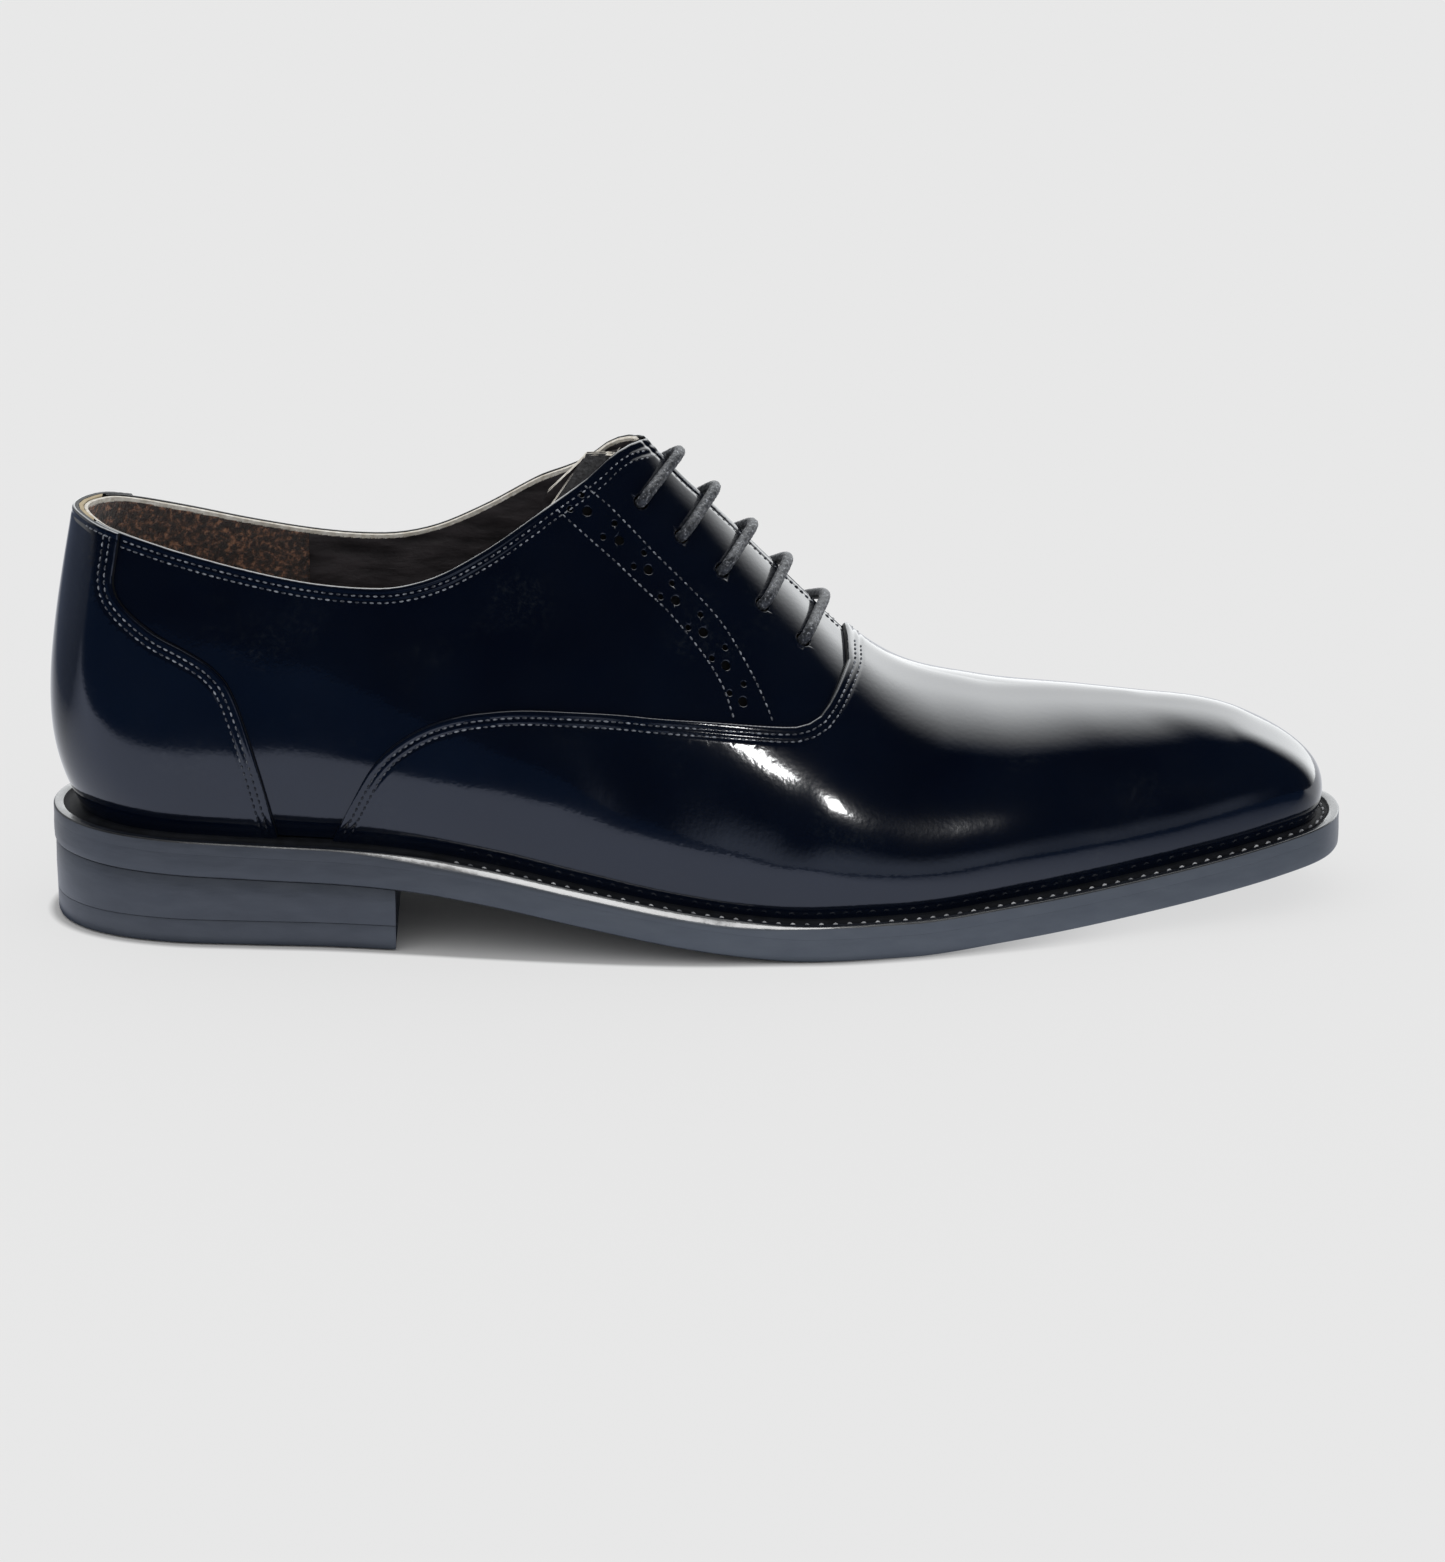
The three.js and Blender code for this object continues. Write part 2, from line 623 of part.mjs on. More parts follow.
function punchedHoles(side) {
  const row = through(PUNCH_ROW);
  const hole = (x, z, radius) => {
    const { point, normal } = onSurface(x, z, side);
    return bar(point, normal, -MIDDLE[1] - 0.2, 2, radius, 5);
  };
  return PUNCH_ROW.flatMap(([t]) => {
    const [x, z] = row(t);
    const [aheadX, aheadZ] = row(t + 0.1);
    const [backX, backZ] = row(t - 0.1);
    const along = new THREE.Vector2(aheadX - backX, aheadZ - backZ).normalize();
    const [sx, sz] = [x - along.x * PUNCH_LEAD, z - along.y * PUNCH_LEAD];
    const [ax, az] = [-along.y * PUNCH_SPREAD, along.x * PUNCH_SPREAD];
    return [
      hole(sx + ax, sz + az, PUNCH_SMALL_RADIUS),
      hole(sx - ax, sz - az, PUNCH_SMALL_RADIUS),
      hole(x + along.x * PUNCH_LEAD, z + along.y * PUNCH_LEAD, PUNCH_LARGE_RADIUS),
    ];
  });
}

// ---- Tongue -------------------------------------------------------------------------------

const TONGUE_OUTLINE = [
  [88, -18.5],
  [81, -12],
  [76.5, 0.5],
  [81, 13],
  [88, 19.5],
  [101.5, 20.5],
  [131.5, 19],
  [157.2, 17],
  [157.2, -11],
  [131.5, -15],
  [101.5, -18],
];
const TONGUE_RISE = [134, 157]; // between these the tongue comes up to the vamp lining
const TONGUE_ROOT_DEPTH = 3.9;
const TONGUE_REGION_Z = [44, 105];

function makeTongue() {
  const plan = planPrism(TONGUE_OUTLINE);
  const sink = (depth) => (x) => {
    const t = THREE.MathUtils.smoothstep(x, TONGUE_RISE[0], TONGUE_RISE[1]);
    return depth - t * (TONGUE[0] - TONGUE_ROOT_DEPTH);
  };
  const region = plan.intersect(sideBand(() => TONGUE_REGION_Z[0], () => TONGUE_REGION_Z[1]));
  const sheet = ([outer, inner]) =>
    lastSolid(sink(outer)).subtract(lastSolid(sink(inner))).intersect(region);
  add("tongue", sheet(TONGUE), 0x1b1c1f);
  add("tongue_lining", sheet(TONGUE_LINING), 0x4a3a30);
}

// ---- Lacing -------------------------------------------------------------------------------

function makeEyelets() {
  const { inner, outer, topDepth } = EYELET_BARREL;
  const flangeTop = -LINING[1] - EYELET_FLANGE.standOff;
  const flangeBottom = flangeTop - EYELET_FLANGE.thickness;
  const profile = [
    [inner, flangeBottom],
    [EYELET_FLANGE.radius, flangeBottom],
    [EYELET_FLANGE.radius, flangeTop],
    [outer, flangeTop],
    [outer, -topDepth],
    [inner, -topDepth],
    [inner, flangeBottom],
  ].map(([r, y]) => new THREE.Vector2(r, y));
  [LATERAL, MEDIAL].forEach((side) =>
    EYELETS[side].forEach(({ point, normal }, i) => {
      const ring = new THREE.LatheGeometry(profile, 8);
      add(`eyelet_${nameOf(side)}_${i + 1}`, solidOfGeometry(turned(ring, point, normal)), 0xb08d4a);
    }),
  );
}

const LACE_OVER = LACE_RADIUS + 0.5 - MIDDLE[0]; // the lace's centre above the outermost surface
const LACE_UNDER = -6.75; // and below it, between the lining and the tongue
const PASS_BY = 3.4; // sideways room to pass another row's eyelet
const LACE_LEAN = 1.6; // a bar of lace leaves its hole towards the slot
const LACE_TIP_LENGTH = 14;
const LACE_RING_SPACING = 3.3; // along the lace
// Where the lace's ends lie in the side view: x and z.
const TUCK = [
  [90, 99],
  [82, 92],
  [75, 83],
  [69, 74],
];

// The eyelets in the order the lace goes through them. `pass` is the way it leans, under the facings, to
// get past the eyelets between.
const LACE_ROUTE = [
  { side: MEDIAL, row: 0 },
  { side: LATERAL, row: 0 },
  { side: LATERAL, row: 2, pass: 1 },
  { side: MEDIAL, row: 2 },
  { side: MEDIAL, row: 4, pass: 1 },
  { side: LATERAL, row: 4 },
  { side: LATERAL, row: 3, pass: 0 },
  { side: MEDIAL, row: 3 },
  { side: MEDIAL, row: 1, pass: -1 },
  { side: LATERAL, row: 1 },
];

// A point over or under an eyelet, moved sideways by `shift`, away from the slot.
function besideEyelet({ side, row }, height, shift = 0) {
  const { point, normal } = EYELETS[side][row];
  const away = new THREE.Vector3(0, side, 0);
  away.addScaledVector(normal, -away.dot(normal)).normalize();
  return point.clone().addScaledVector(normal, height).addScaledVector(away, shift);
}

// A straight bar of the lace over the slot, from one eyelet to the one across from it.
function overTheSlot(from, to) {
  const middle = besideEyelet(from, 0).lerp(besideEyelet(to, 0), 0.5);
  const rib = nearestHead(middle);
  const crest = lastPoint(rib, 1, LATERAL);
  const top = crest.clone().addScaledVector(lastNormal(rib, 1, LATERAL), LACE_OVER + 0.5);
  const flank = ({ side, row }) => {
    const { point, normal } = EYELETS[side][row];
    return point.clone().lerp(crest, 0.5).addScaledVector(normal, LACE_OVER + 1);
  };
  const start = besideEyelet(from, LACE_OVER, -LACE_LEAN);
  return [start, flank(from), top, flank(to), besideEyelet(to, LACE_OVER, -LACE_LEAN)];
}

// The way under the facings from one eyelet to the next.
function underTheFacings(from, to, pass) {
  const lean = pass * PASS_BY;
  const [a, b] = [besideEyelet(from, LACE_UNDER, lean), besideEyelet(to, LACE_UNDER, lean)];
  const start = besideEyelet(from, LACE_UNDER).lerp(b, 0.1);
  const end = besideEyelet(to, LACE_UNDER).lerp(a, 0.1);
  return [start, a.clone().lerp(b, 0.3), a.clone().lerp(b, 0.7), end];
}

// The end of the lace, tucked down between lining and tongue.
function tuck(side) {
  return TUCK.map(([x, z]) => {
    const { point, normal } = onSurface(x, z, side);
    return point.addScaledVector(normal, LACE_UNDER);
  });
}

function lacePoints() {
  const downward = [LACE_OVER - 0.9, -2, -3.6, -5.4];
  const upward = [...downward].reverse();
  const points = tuck(MEDIAL).reverse();
  LACE_ROUTE.forEach((stop, i) => {
    const risesHere = i % 2 === 0;
    if (i > 0 && risesHere) points.push(...underTheFacings(LACE_ROUTE[i - 1], stop, stop.pass));
    if (i > 0 && !risesHere) points.push(...overTheSlot(LACE_ROUTE[i - 1], stop));
    points.push(...(risesHere ? upward : downward).map((height) => besideEyelet(stop, height)));
  });
  const leave = LACE_ROUTE[LACE_ROUTE.length - 1];
  points.push(besideEyelet(leave, LACE_UNDER, -LACE_LEAN / 2));
  points.push(besideEyelet({ side: LATERAL, row: 0 }, LACE_UNDER, -PASS_BY), ...tuck(LATERAL));
  return points;
}

function makeLace() {
  const points = lacePoints();
  const { solid, end, direction } = cord(points, LACE_RADIUS, LACE_RING_SPACING);
  const startDirection = points[0].clone().sub(points[1]).normalize();
  add("lace", solid, 0x33353a);
  add("lace_tip_lateral", makeLaceTip(end, direction.normalize()), 0x1a1a1a);
  add("lace_tip_medial", makeLaceTip(points[0], startDirection), 0x1a1a1a);
}

function makeLaceTip(laceEnd, along) {
  return bar(laceEnd, along, GAP, GAP + LACE_TIP_LENGTH, LACE_RADIUS, 7);
}

// The rib, on the part of the last that is closed along the ridge, whose head is nearest to a point.
function nearestHead(point) {
  const away = (k) => lastPoint(k, 1, LATERAL).distanceTo(point);
  return steps(...CLOSED_RIBS, 240).reduce((best, k) => (away(k) < away(best) ? k : best));
}

// ---- Assembly -----------------------------------------------------------------------------

const root = new THREE.Group();

function add(name, solid, colour) {
  const { vertProperties, triVerts } = solid.getMesh();
  const geometry = new THREE.BufferGeometry();
  geometry.setAttribute("position", new THREE.BufferAttribute(vertProperties, 3));
  geometry.setIndex(new THREE.BufferAttribute(triVerts, 1));
  geometry.computeVertexNormals();
  const mesh = new THREE.Mesh(geometry, new THREE.MeshStandardMaterial({ color: colour }));
  mesh.name = name;
  root.add(mesh);
}

makeWeltAndOutsole();
makeHeel();
makeInside();
makeVampAndCounter();
makeMiddleLayer();
makeLining();
makeTongue();
makeEyelets();
makeLace();

export default root;
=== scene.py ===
# The look of a man's right leather oxford shoe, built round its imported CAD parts.
# Metres; +X points to the toe, +Y to the inner (medial) side, +Z up.
import math
import bpy
import numpy as np
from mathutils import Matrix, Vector, noise


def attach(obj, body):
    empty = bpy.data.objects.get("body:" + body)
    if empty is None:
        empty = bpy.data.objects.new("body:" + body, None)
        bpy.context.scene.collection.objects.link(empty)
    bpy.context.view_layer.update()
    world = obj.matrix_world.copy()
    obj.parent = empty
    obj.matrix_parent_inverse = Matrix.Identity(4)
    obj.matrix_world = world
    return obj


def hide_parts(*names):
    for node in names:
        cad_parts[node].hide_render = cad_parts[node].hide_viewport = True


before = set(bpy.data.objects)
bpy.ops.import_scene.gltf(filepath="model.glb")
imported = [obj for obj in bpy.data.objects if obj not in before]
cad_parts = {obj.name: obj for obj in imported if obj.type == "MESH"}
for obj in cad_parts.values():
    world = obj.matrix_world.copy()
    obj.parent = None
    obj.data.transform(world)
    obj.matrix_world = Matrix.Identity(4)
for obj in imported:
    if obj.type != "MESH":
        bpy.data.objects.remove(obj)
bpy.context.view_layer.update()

MM = 0.001
LATERAL = -1.0
MEDIAL = 1.0
SIDE_NAMES = {LATERAL: "lateral", MEDIAL: "medial"}

# ---- Driving dimensions, as in the CAD part ------------------------------------------------

# Layers of the upper, as depths below the outermost surface: where each starts and ends.
OVERLAY = (0.0, 1.45 * MM)
MIDDLE = (1.5 * MM, 2.5 * MM)
LINING = (2.8 * MM, 3.6 * MM)
TONGUE = (8.7 * MM, 9.7 * MM)
TONGUE_LINING = (10 * MM, 10.7 * MM)
LINING_DROP = 0.3 * MM
FACING_GAP = 1.4 * MM

WELT_LEDGE = 6.5 * MM
TOE_LEDGE = 5 * MM
WELT_INSET = 4.5 * MM
WELT_THICKNESS = 3 * MM
SOLE_THICKNESS = 8.5 * MM
HEEL_BREAST_X = 41 * MM
HEEL_INSET = 0.3 * MM
TOP_LIFT = 6 * MM

EYELET_ROWS = 5
TOP_EYELET = np.array([99.4, 101.1]) * MM
BOTTOM_EYELET = np.array([137.2, 68.6]) * MM
LACE_RADIUS = 1.3 * MM
LACE_HOLE_RADIUS = 1.7 * MM

# Ribs of the last, from the back of the heel (0) round to the tip of the toe (18). Each rib is one
# curve from the feather line up to the top of the last.
# Columns: x, lateral y and medial y of the foot of the rib; x, half width and z of its head; how far
# its lower control point stands out and up from the foot, and its upper one out and down from the head.
RIBS = np.array([
    [-34, 0, 0, -31, 0, 112, 13, 22, 6, 38],
    [-31.5, -10.5, 10.5, -28.5, 9, 112, 12, 22, 6, 38],
    [-23.5, -19, 19, -23, 16, 110, 9, 22, 7, 36],
    [-10, -24.5, 24.5, -10, 21, 106, 7, 22, 7, 34],
    [8, -27, 27, 8, 24, 102, 7, 22, 6, 32],
    [26, -29, 27, 27, 25, 101, 7, 22, 6, 30],
    [45, -32.5, 25.5, 44, 23.5, 104, 8, 22, 8, 30],
    [64, -36.5, 25.5, 60, 19, 110, 8, 24, 11, 28],
    [83, -40, 28.5, 75, 12, 118.5, 8, 26, 13, 22],
    [101, -42.5, 33.5, 90, 0, 123.5, 7, 28, 16, 12],
    [118, -43.5, 39.5, 112, 0, 103.5, 6, 26, 20, 9],
    [137, -43.5, 44.5, 134, 0, 81, 5, 24, 22, 5],
    [158, -41, 47, 156, 0, 60, 4.5, 20, 24, 1],
    [181, -35.5, 46, 178, 0, 52.5, 4, 18, 24, 0],
    [205, -28, 40.5, 203, 0, 50, 3.5, 16, 20, 0],
    [229, -20.5, 31, 225, 0, 48, 3, 14, 17, 0],
    [246.5, -14, 23, 231, 0, 47.2, 4, 13, 17, 0],
    [257.5, -7, 15.5, 231, 0, 47.2, 4.5, 13, 19, 0],
    [261, 4.5, 4.5, 231, 0, 47.2, 5, 13, 21, 0],
]) * MM
LAST_RIB = len(RIBS) - 1
TOE_SLOPE_RIBS = (13, 16)
TOE_SLOPE = 0.3
FAN_RIB = 16
CLOSED_RIBS = (9, 15)
TOE_LEDGE_RIB = 15

# Centre line of the top of the last: x and y.
RIDGE = np.array([[-40, 0], [60, 0], [100, 1.5], [150, 3], [200, 4], [264, 4.5]]) * MM
# Top of the welt, where the upper stands: x and z.
SEAT = np.array([
    [-41, 26.5], [-20, 25.4], [10, 24.4], [41, 23.2], [62, 20.6], [85, 16.2], [108, 11.8],
    [128, 9], [140, 8.5], [160, 8.5], [182, 10], [205, 12], [230, 15.2], [268, 21],
]) * MM
# Lines of the upper in the side view: x and z.
TOPLINE = np.array([
    [-45, 98.5], [-32, 98], [-23, 96], [-8, 92], [8, 88], [24, 85], [38, 84], [50, 86],
    [62, 91.6], [75, 99.5], [86, 105.6], [92, 110.3], [96, 112.2], [99.5, 112.7], [104, 112.5],
]) * MM
COUNTER_EDGE = np.array([
    [-20, 104], [-22.5, 90], [-23.3, 83.5], [-21, 79], [-14, 73.4], [-6.4, 69.6], [0, 65.4],
    [4.4, 58.9], [9.5, 41.7], [14.5, 20],
]) * MM
WING_EDGE = np.array([
    [22, 14], [30.8, 33.5], [36.6, 44], [43.2, 50.1], [51, 54.2], [61, 56.6], [77, 57.3],
    [109, 54.4], [131, 51.6], [137, 51.8], [141, 54], [145.8, 60.3], [147.4, 64], [148, 90],
]) * MM
UNDERLAP_INNER_EDGE = np.array([
    [34, 6], [40, 30], [46, 39], [56, 44.5], [77, 47], [109, 44], [132, 40.5], [146, 44],
    [153, 52], [156, 58], [157, 90],
]) * MM
COUNTER_UNDERLAP = 6 * MM
LINING_SEAM = np.array([[112, 0], [152, 90]]) * MM
HEEL_GRIP_SEAM_X = 20 * MM
# The two curved rows of stitches either side of the punched holes: x and z.
BROGUE_REAR_ROW = np.array([
    [79.6, 100.8], [89.3, 91.8], [97.7, 84.6], [105.3, 77.7], [112.5, 69.1], [117.3, 61.6], [119.9, 54.2],
]) * MM
BROGUE_FRONT_ROW = np.array([
    [85.8, 105.2], [95.6, 96.9], [103.4, 89.2], [110.9, 81.8], [117.6, 74.4], [123, 65.9],
    [126.8, 58.5], [129.2, 52.5],
]) * MM
# Punched holes: a curved row of groups, each two small holes and a larger one.
PUNCH_ROW = np.array([
    [0, 85.4, 100.8], [1, 92.4, 94.6], [2, 99.6, 88.2], [3, 106, 81.3], [4, 112.3, 74.2],
    [5, 117.6, 67], [6, 121.5, 59.2],
]) * (1, MM, MM)
PUNCH_SMALL_RADIUS = 0.62 * MM
PUNCH_LARGE_RADIUS = 1.05 * MM
PUNCH_SPREAD = 1.9 * MM
PUNCH_LEAD = 1.6 * MM

TONGUE_X = (76.5 * MM, 153 * MM)
TONGUE_Z = (44 * MM, 109 * MM)
TONGUE_TIP = (97 * MM, 109 * MM)  # heights between which its back edge slants forward
TONGUE_SLANT = 10 * MM
TONGUE_HALF_WIDTH = 18 * MM
TONGUE_RISE = (134 * MM, 157 * MM)
TONGUE_ROOT_DEPTH = 3.9 * MM

# ---- Looks only ---------------------------------------------------------------------------

SKIN_SPACING = 1.5 * MM  # edge length of the plain parts of the leather meshes
SEAM_SPACING = 0.55 * MM  # and beside seams
HOLE_SPACING = 0.22 * MM  # and round holes
EDGE_ROUNDING = 0.55 * MM
EDGE_STEPS = (0.08 * MM, 0.25 * MM, 0.5 * MM)
HOLE_ROUNDING = 0.45 * MM
RAW_EDGE_WIDTH = 1 * MM  # pale band along the top of the linings
CUT_MARGIN = 6 * MM  # left beyond an edge until the mesh is refined beside it
QUARTER_MARGIN = 3 * MM
UNDERLAP_MARGIN = 1 * MM
HOLE_MARGIN = 0.9 * MM  # the mesh is finer this close to a hole
SLOT_MARGIN = 4 * MM  # and this close to the slot between the facings
LINING_MARGIN = 2 * MM
SEAM_ROWS = (1.7 * MM, 3.2 * MM)  # stitch rows, in from the edge of the leather
TOPLINE_ROWS = (1.5 * MM, 3.0 * MM)
FACING_ROW = 2.0 * MM
FACING_ROW_RIBS = (9.1, 11.9)
STITCH_PITCH = 1.7 * MM
STITCH_LENGTH = 1.25 * MM
STITCH_RADIUS = 0.22 * MM
STITCH_SINK = 0.12 * MM
# painted highlight: the seam thread is pale above this height and dark below it
THREAD_HIGHLIGHT_PAINTED_ABOVE = 54 * MM
WELT_STITCH_PITCH = 3.3 * MM
WELT_STITCH_LENGTH = 1.5 * MM
WELT_STITCH_RADIUS = 0.34 * MM
WELT_STITCH_ROW = 3.8 * MM  # in from the sole's edge
WELT_STITCH_START = HEEL_BREAST_X + 12 * MM

# The studio.
BACKGROUND = 0.807  # as the camera sees it
OVERHEAD = 3.2  # the brightest that the leather mirrors
LOW_FRONT = 0.42  # and the most low down on the camera's side
FLOOR_GLOW = 0.65
NEAR_FLOOR = 0.162  # how far out on the camera's side the floor is mirrored, beside the heel
FLOOR_SPREAD = 50  # the floor's size over the shoe's

# The camera.
CAMERA_AT = (0.0783, -1.1373, 0.3767)
CAMERA_DIRECTION = (0.0334, 0.9557, -0.2924)
LENS = 115.24

# ---- Curves -------------------------------------------------------------------------------


class Through:
    """A smooth curve through rows [t, value, ...]: calling it with an array of t gives rows of values.
    The columns in `level` start and end without a slope."""

    def __init__(self, rows, level=()):
        self.t = rows[:, 0]
        self.values = rows[:, 1:]
        before = np.vstack([rows[:1], rows[:-1]])
        after = np.vstack([rows[1:], rows[-1:]])
        self.slopes = (after - before)[:, 1:] / (after - before)[:, :1]
        turns = ((after - rows) * (rows - before))[:, 1:] <= 0
        turns[[0, -1]] = False
        self.slopes[turns] = 0
        for column in level:
            self.slopes[[0, -1], column] = 0

    def __call__(self, t):
        held = np.clip(np.atleast_1d(t), self.t[0], self.t[-1])
        i = np.clip(np.searchsorted(self.t, held) - 1, 0, len(self.t) - 2)
        span = (self.t[i + 1] - self.t[i])[:, None]
        s = (held[:, None] - self.t[i][:, None]) / span
        start = 2 * s**3 - 3 * s**2 + 1
        leave = (s**3 - 2 * s**2 + s) * span
        arrive = (s**3 - s**2) * span
        ends = start * self.values[i] + (1 - start) * self.values[i + 1]
        return ends + leave * self.slopes[i] + arrive * self.slopes[i + 1]


rib_at = Through(np.column_stack([np.arange(len(RIBS)), RIBS]), level=(0, 3))
seat_curve = Through(SEAT)
ridge_curve = Through(RIDGE)
topline_curve = Through(TOPLINE)


def seat(x):
    return seat_curve(x)[:, 0]


def ridge(x):
    return ridge_curve(x)[:, 0]


def tread(x):
    return np.maximum(0, seat(x) - SOLE_THICKNESS)


def smoothstep(t, low, high):
    s = np.clip((t - low) / (high - low), 0, 1)
    return s * s * (3 - 2 * s)


def lengths_along(points):
    return np.concatenate([[0], np.cumsum(np.linalg.norm(np.diff(points, axis=0), axis=1))])


def spaced(points, count):
    """That many points evenly spaced along a polyline."""
    along = lengths_along(points)
    wanted = np.linspace(0, along[-1], count)
    return np.column_stack([np.interp(wanted, along, column) for column in points.T])


def spline(points, count=60):
    """Evenly spaced points along a smooth curve through the points."""
    if len(points) == 2:
        return spaced(points, count)
    padded = np.vstack([2 * points[0] - points[1], points, 2 * points[-1] - points[-2]])
    t = np.linspace(0, 1, 12, endpoint=False)[:, None]
    pieces = []
    for a, b, c, d in zip(padded, padded[1:], padded[2:], padded[3:]):
        bend = 2 * a - 5 * b + 4 * c - d
        twist = 3 * (b - c) + d - a
        pieces.append(b + 0.5 * t * (c - a) + 0.5 * t**2 * bend + 0.5 * t**3 * twist)
    return spaced(np.vstack([*pieces, points[-1:]]), count)


class Line:
    """A line of the side view that divides the shoe. Calling it with points gives their distance from
    it, positive on the side where the point `beyond` lies."""

    REACH = 0.3  # how far it runs on straight past its ends
    BLOCK = 20000  # points taken at a time, to spare memory

    def __init__(self, points, beyond):
        start = points[0] + (points[0] - points[1]) / np.linalg.norm(points[0] - points[1]) * self.REACH
        end = points[-1] + (points[-1] - points[-2]) / np.linalg.norm(points[-1] - points[-2]) * self.REACH
        self.inner = points
        self.points = np.vstack([start, points, end])
        self.sign = 1.0
        self.sign = np.sign(self.flat(np.array([beyond]))[0])

    def __call__(self, points):
        return self.flat(points[:, [0, 2]])

    def flat(self, points):
        distance = np.empty(len(points))
        for first in range(0, len(points), self.BLOCK):
            some = slice(first, first + self.BLOCK)
            distance[some] = self.block(points[some])
        return distance

    def block(self, points):
        a = self.points[:-1]
        ab = self.points[1:] - a
        ap = points[:, None] - a
        t = np.clip((ap * ab).sum(2) / (ab * ab).sum(1), 0, 1)
        away = np.linalg.norm(ap - t[..., None] * ab, axis=2)
        nearest = away.argmin(1)
        rows = np.arange(len(points))
        near_ap = ap[rows, nearest]
        near_ab = ab[nearest]
        cross = near_ab[:, 0] * near_ap[:, 1] - near_ab[:, 1] * near_ap[:, 0]
        return self.sign * np.where(cross < 0, -1, 1) * away[rows, nearest]

    def beside(self, distance):
        """The line's points moved by a distance towards its far side."""
        along = np.gradient(self.inner, axis=0)
        along /= np.linalg.norm(along, axis=1)[:, None]
        across = np.column_stack([-along[:, 1], along[:, 0]])
        probe = self.flat(self.inner[:1] + across[:1] * MM)[0]
        return self.inner + across * np.sign(probe) * distance


ABOVE = (0.0, 0.9)
AHEAD = (0.9, 0.05)
topline_x = np.linspace(TOPLINE[0, 0], TOPLINE[-1, 0], 60)
topline_points = np.column_stack([topline_x, topline_curve(topline_x)[:, 0]])
topline_line = Line(np.vstack([topline_points, [TOPLINE[-1, 0], 0.13]]), ABOVE)
lining_top = Line(topline_points - (0, LINING_DROP), ABOVE)
counter_line = Line(spline(COUNTER_EDGE), AHEAD)
wing_line = Line(spline(WING_EDGE), AHEAD)
underlap_line = Line(spline(UNDERLAP_INNER_EDGE), AHEAD)
counter_underlap_line = Line(spline(COUNTER_EDGE) - (COUNTER_UNDERLAP, 0), AHEAD)
lining_seam_line = Line(spline(LINING_SEAM), AHEAD)


def below_seat(points):
    """Positive below the top of the welt."""
    return seat(points[:, 0]) - points[:, 2]


def opposite(field):
    return lambda points: -field(points)


# ---- The last -----------------------------------------------------------------------------


def unit(vectors):
    return vectors / np.linalg.norm(vectors, axis=-1, keepdims=True)


def foot(k, side):
    """Foot of rib k on one side, and the level direction that points out of the shoe there."""

    def at(rib):
        row = rib_at(rib)
        return np.column_stack([row[:, 0], np.where(side < 0, row[:, 1], row[:, 2])])

    along = at(np.minimum(k + 0.1, LAST_RIB)) - at(np.maximum(k - 0.1, 0))
    along[k <= 0] = np.column_stack([0 * side, side])[k <= 0]
    along[k >= LAST_RIB] = np.column_stack([0 * side, -side])[k >= LAST_RIB]
    out = unit(np.column_stack([-along[:, 1], along[:, 0]]) * side[:, None])
    return at(k), out


def last_point(k, v, side):
    """Points of the last's surface: rib k, fraction v of the way up it, side."""
    point, out = foot(k, side)
    head_x, head_half, head_z, lower_out, lower_up, upper_out, upper_down = rib_at(k)[:, 3:].T
    slope = TOE_SLOPE * smoothstep(k, *TOE_SLOPE_RIBS)
    bottom = np.column_stack([point, seat(point[:, 0])])
    lower = bottom + np.column_stack([out * lower_out[:, None], lower_up])
    head = np.column_stack([head_x, ridge(head_x) + side * np.maximum(head_half, 0), head_z])
    drop = -upper_down - slope * out[:, 0] * upper_out
    upper = head + np.column_stack([out * upper_out[:, None], drop])
    v = v[:, None]
    ends = (1 - v) ** 3 * bottom + v**3 * head
    return ends + 3 * (1 - v) ** 2 * v * lower + 3 * (1 - v) * v**2 * upper


def side_normal(k, v, side):
    step = 0.02
    held_v = np.clip(v, step, 1 - step)
    held_k = np.clip(k, step, LAST_RIB - step)
    along = last_point(held_k + step, held_v, side) - last_point(held_k - step, held_v, side)
    up = last_point(held_k, held_v + step, side) - last_point(held_k, held_v - step, side)
    return unit(np.cross(along, up) * -side[:, None])


def last_normal(k, v, side):
    """Outward normals. Points shared by both sides take the average of the two."""
    normal = side_normal(k, v, side)
    closed_top = (v >= 1) & (rib_at(k)[:, 4] <= 0)
    shared = (k <= 0) | (k >= LAST_RIB) | closed_top
    rib = np.where(closed_top, np.minimum(k, FAN_RIB), k)[shared]
    both = sum(side_normal(rib, v[shared], np.full(len(rib), s)) for s in (LATERAL, MEDIAL))
    both[:, 1] = 0
    normal[shared] = unit(both)
    open_top = (v >= 1) & ~shared
    normal[open_top, 2] = 0
    return unit(normal)


def on_surface(flat, side):
    """Surface points and normals where the side view has the given rows of x and z."""
    x, z = np.asarray(flat).T
    side = np.full(len(x), side)
    k = np.interp(x, RIBS[:, 0], np.arange(len(RIBS)))
    v = np.full(len(x), 0.7)
    step = 0.01
    for _ in range(30):
        here = last_point(k, v, side)
        dk = (last_point(k + step, v, side) - here) / step
        dv = (last_point(k, v + step, side) - here) / step
        det = dk[:, 0] * dv[:, 2] - dv[:, 0] * dk[:, 2]
        miss_x = x - here[:, 0]
        miss_z = z - here[:, 2]
        k = np.clip(k + (miss_x * dv[:, 2] - miss_z * dv[:, 0]) / det, 0.01, LAST_RIB - 0.02)
        v = np.clip(v + (miss_z * dk[:, 0] - miss_x * dk[:, 2]) / det, 0.01, 0.98)
    return last_point(k, v, side), last_normal(k, v, side)


# ---- Meshes cut out of the last's surface -----------------------------------------------------


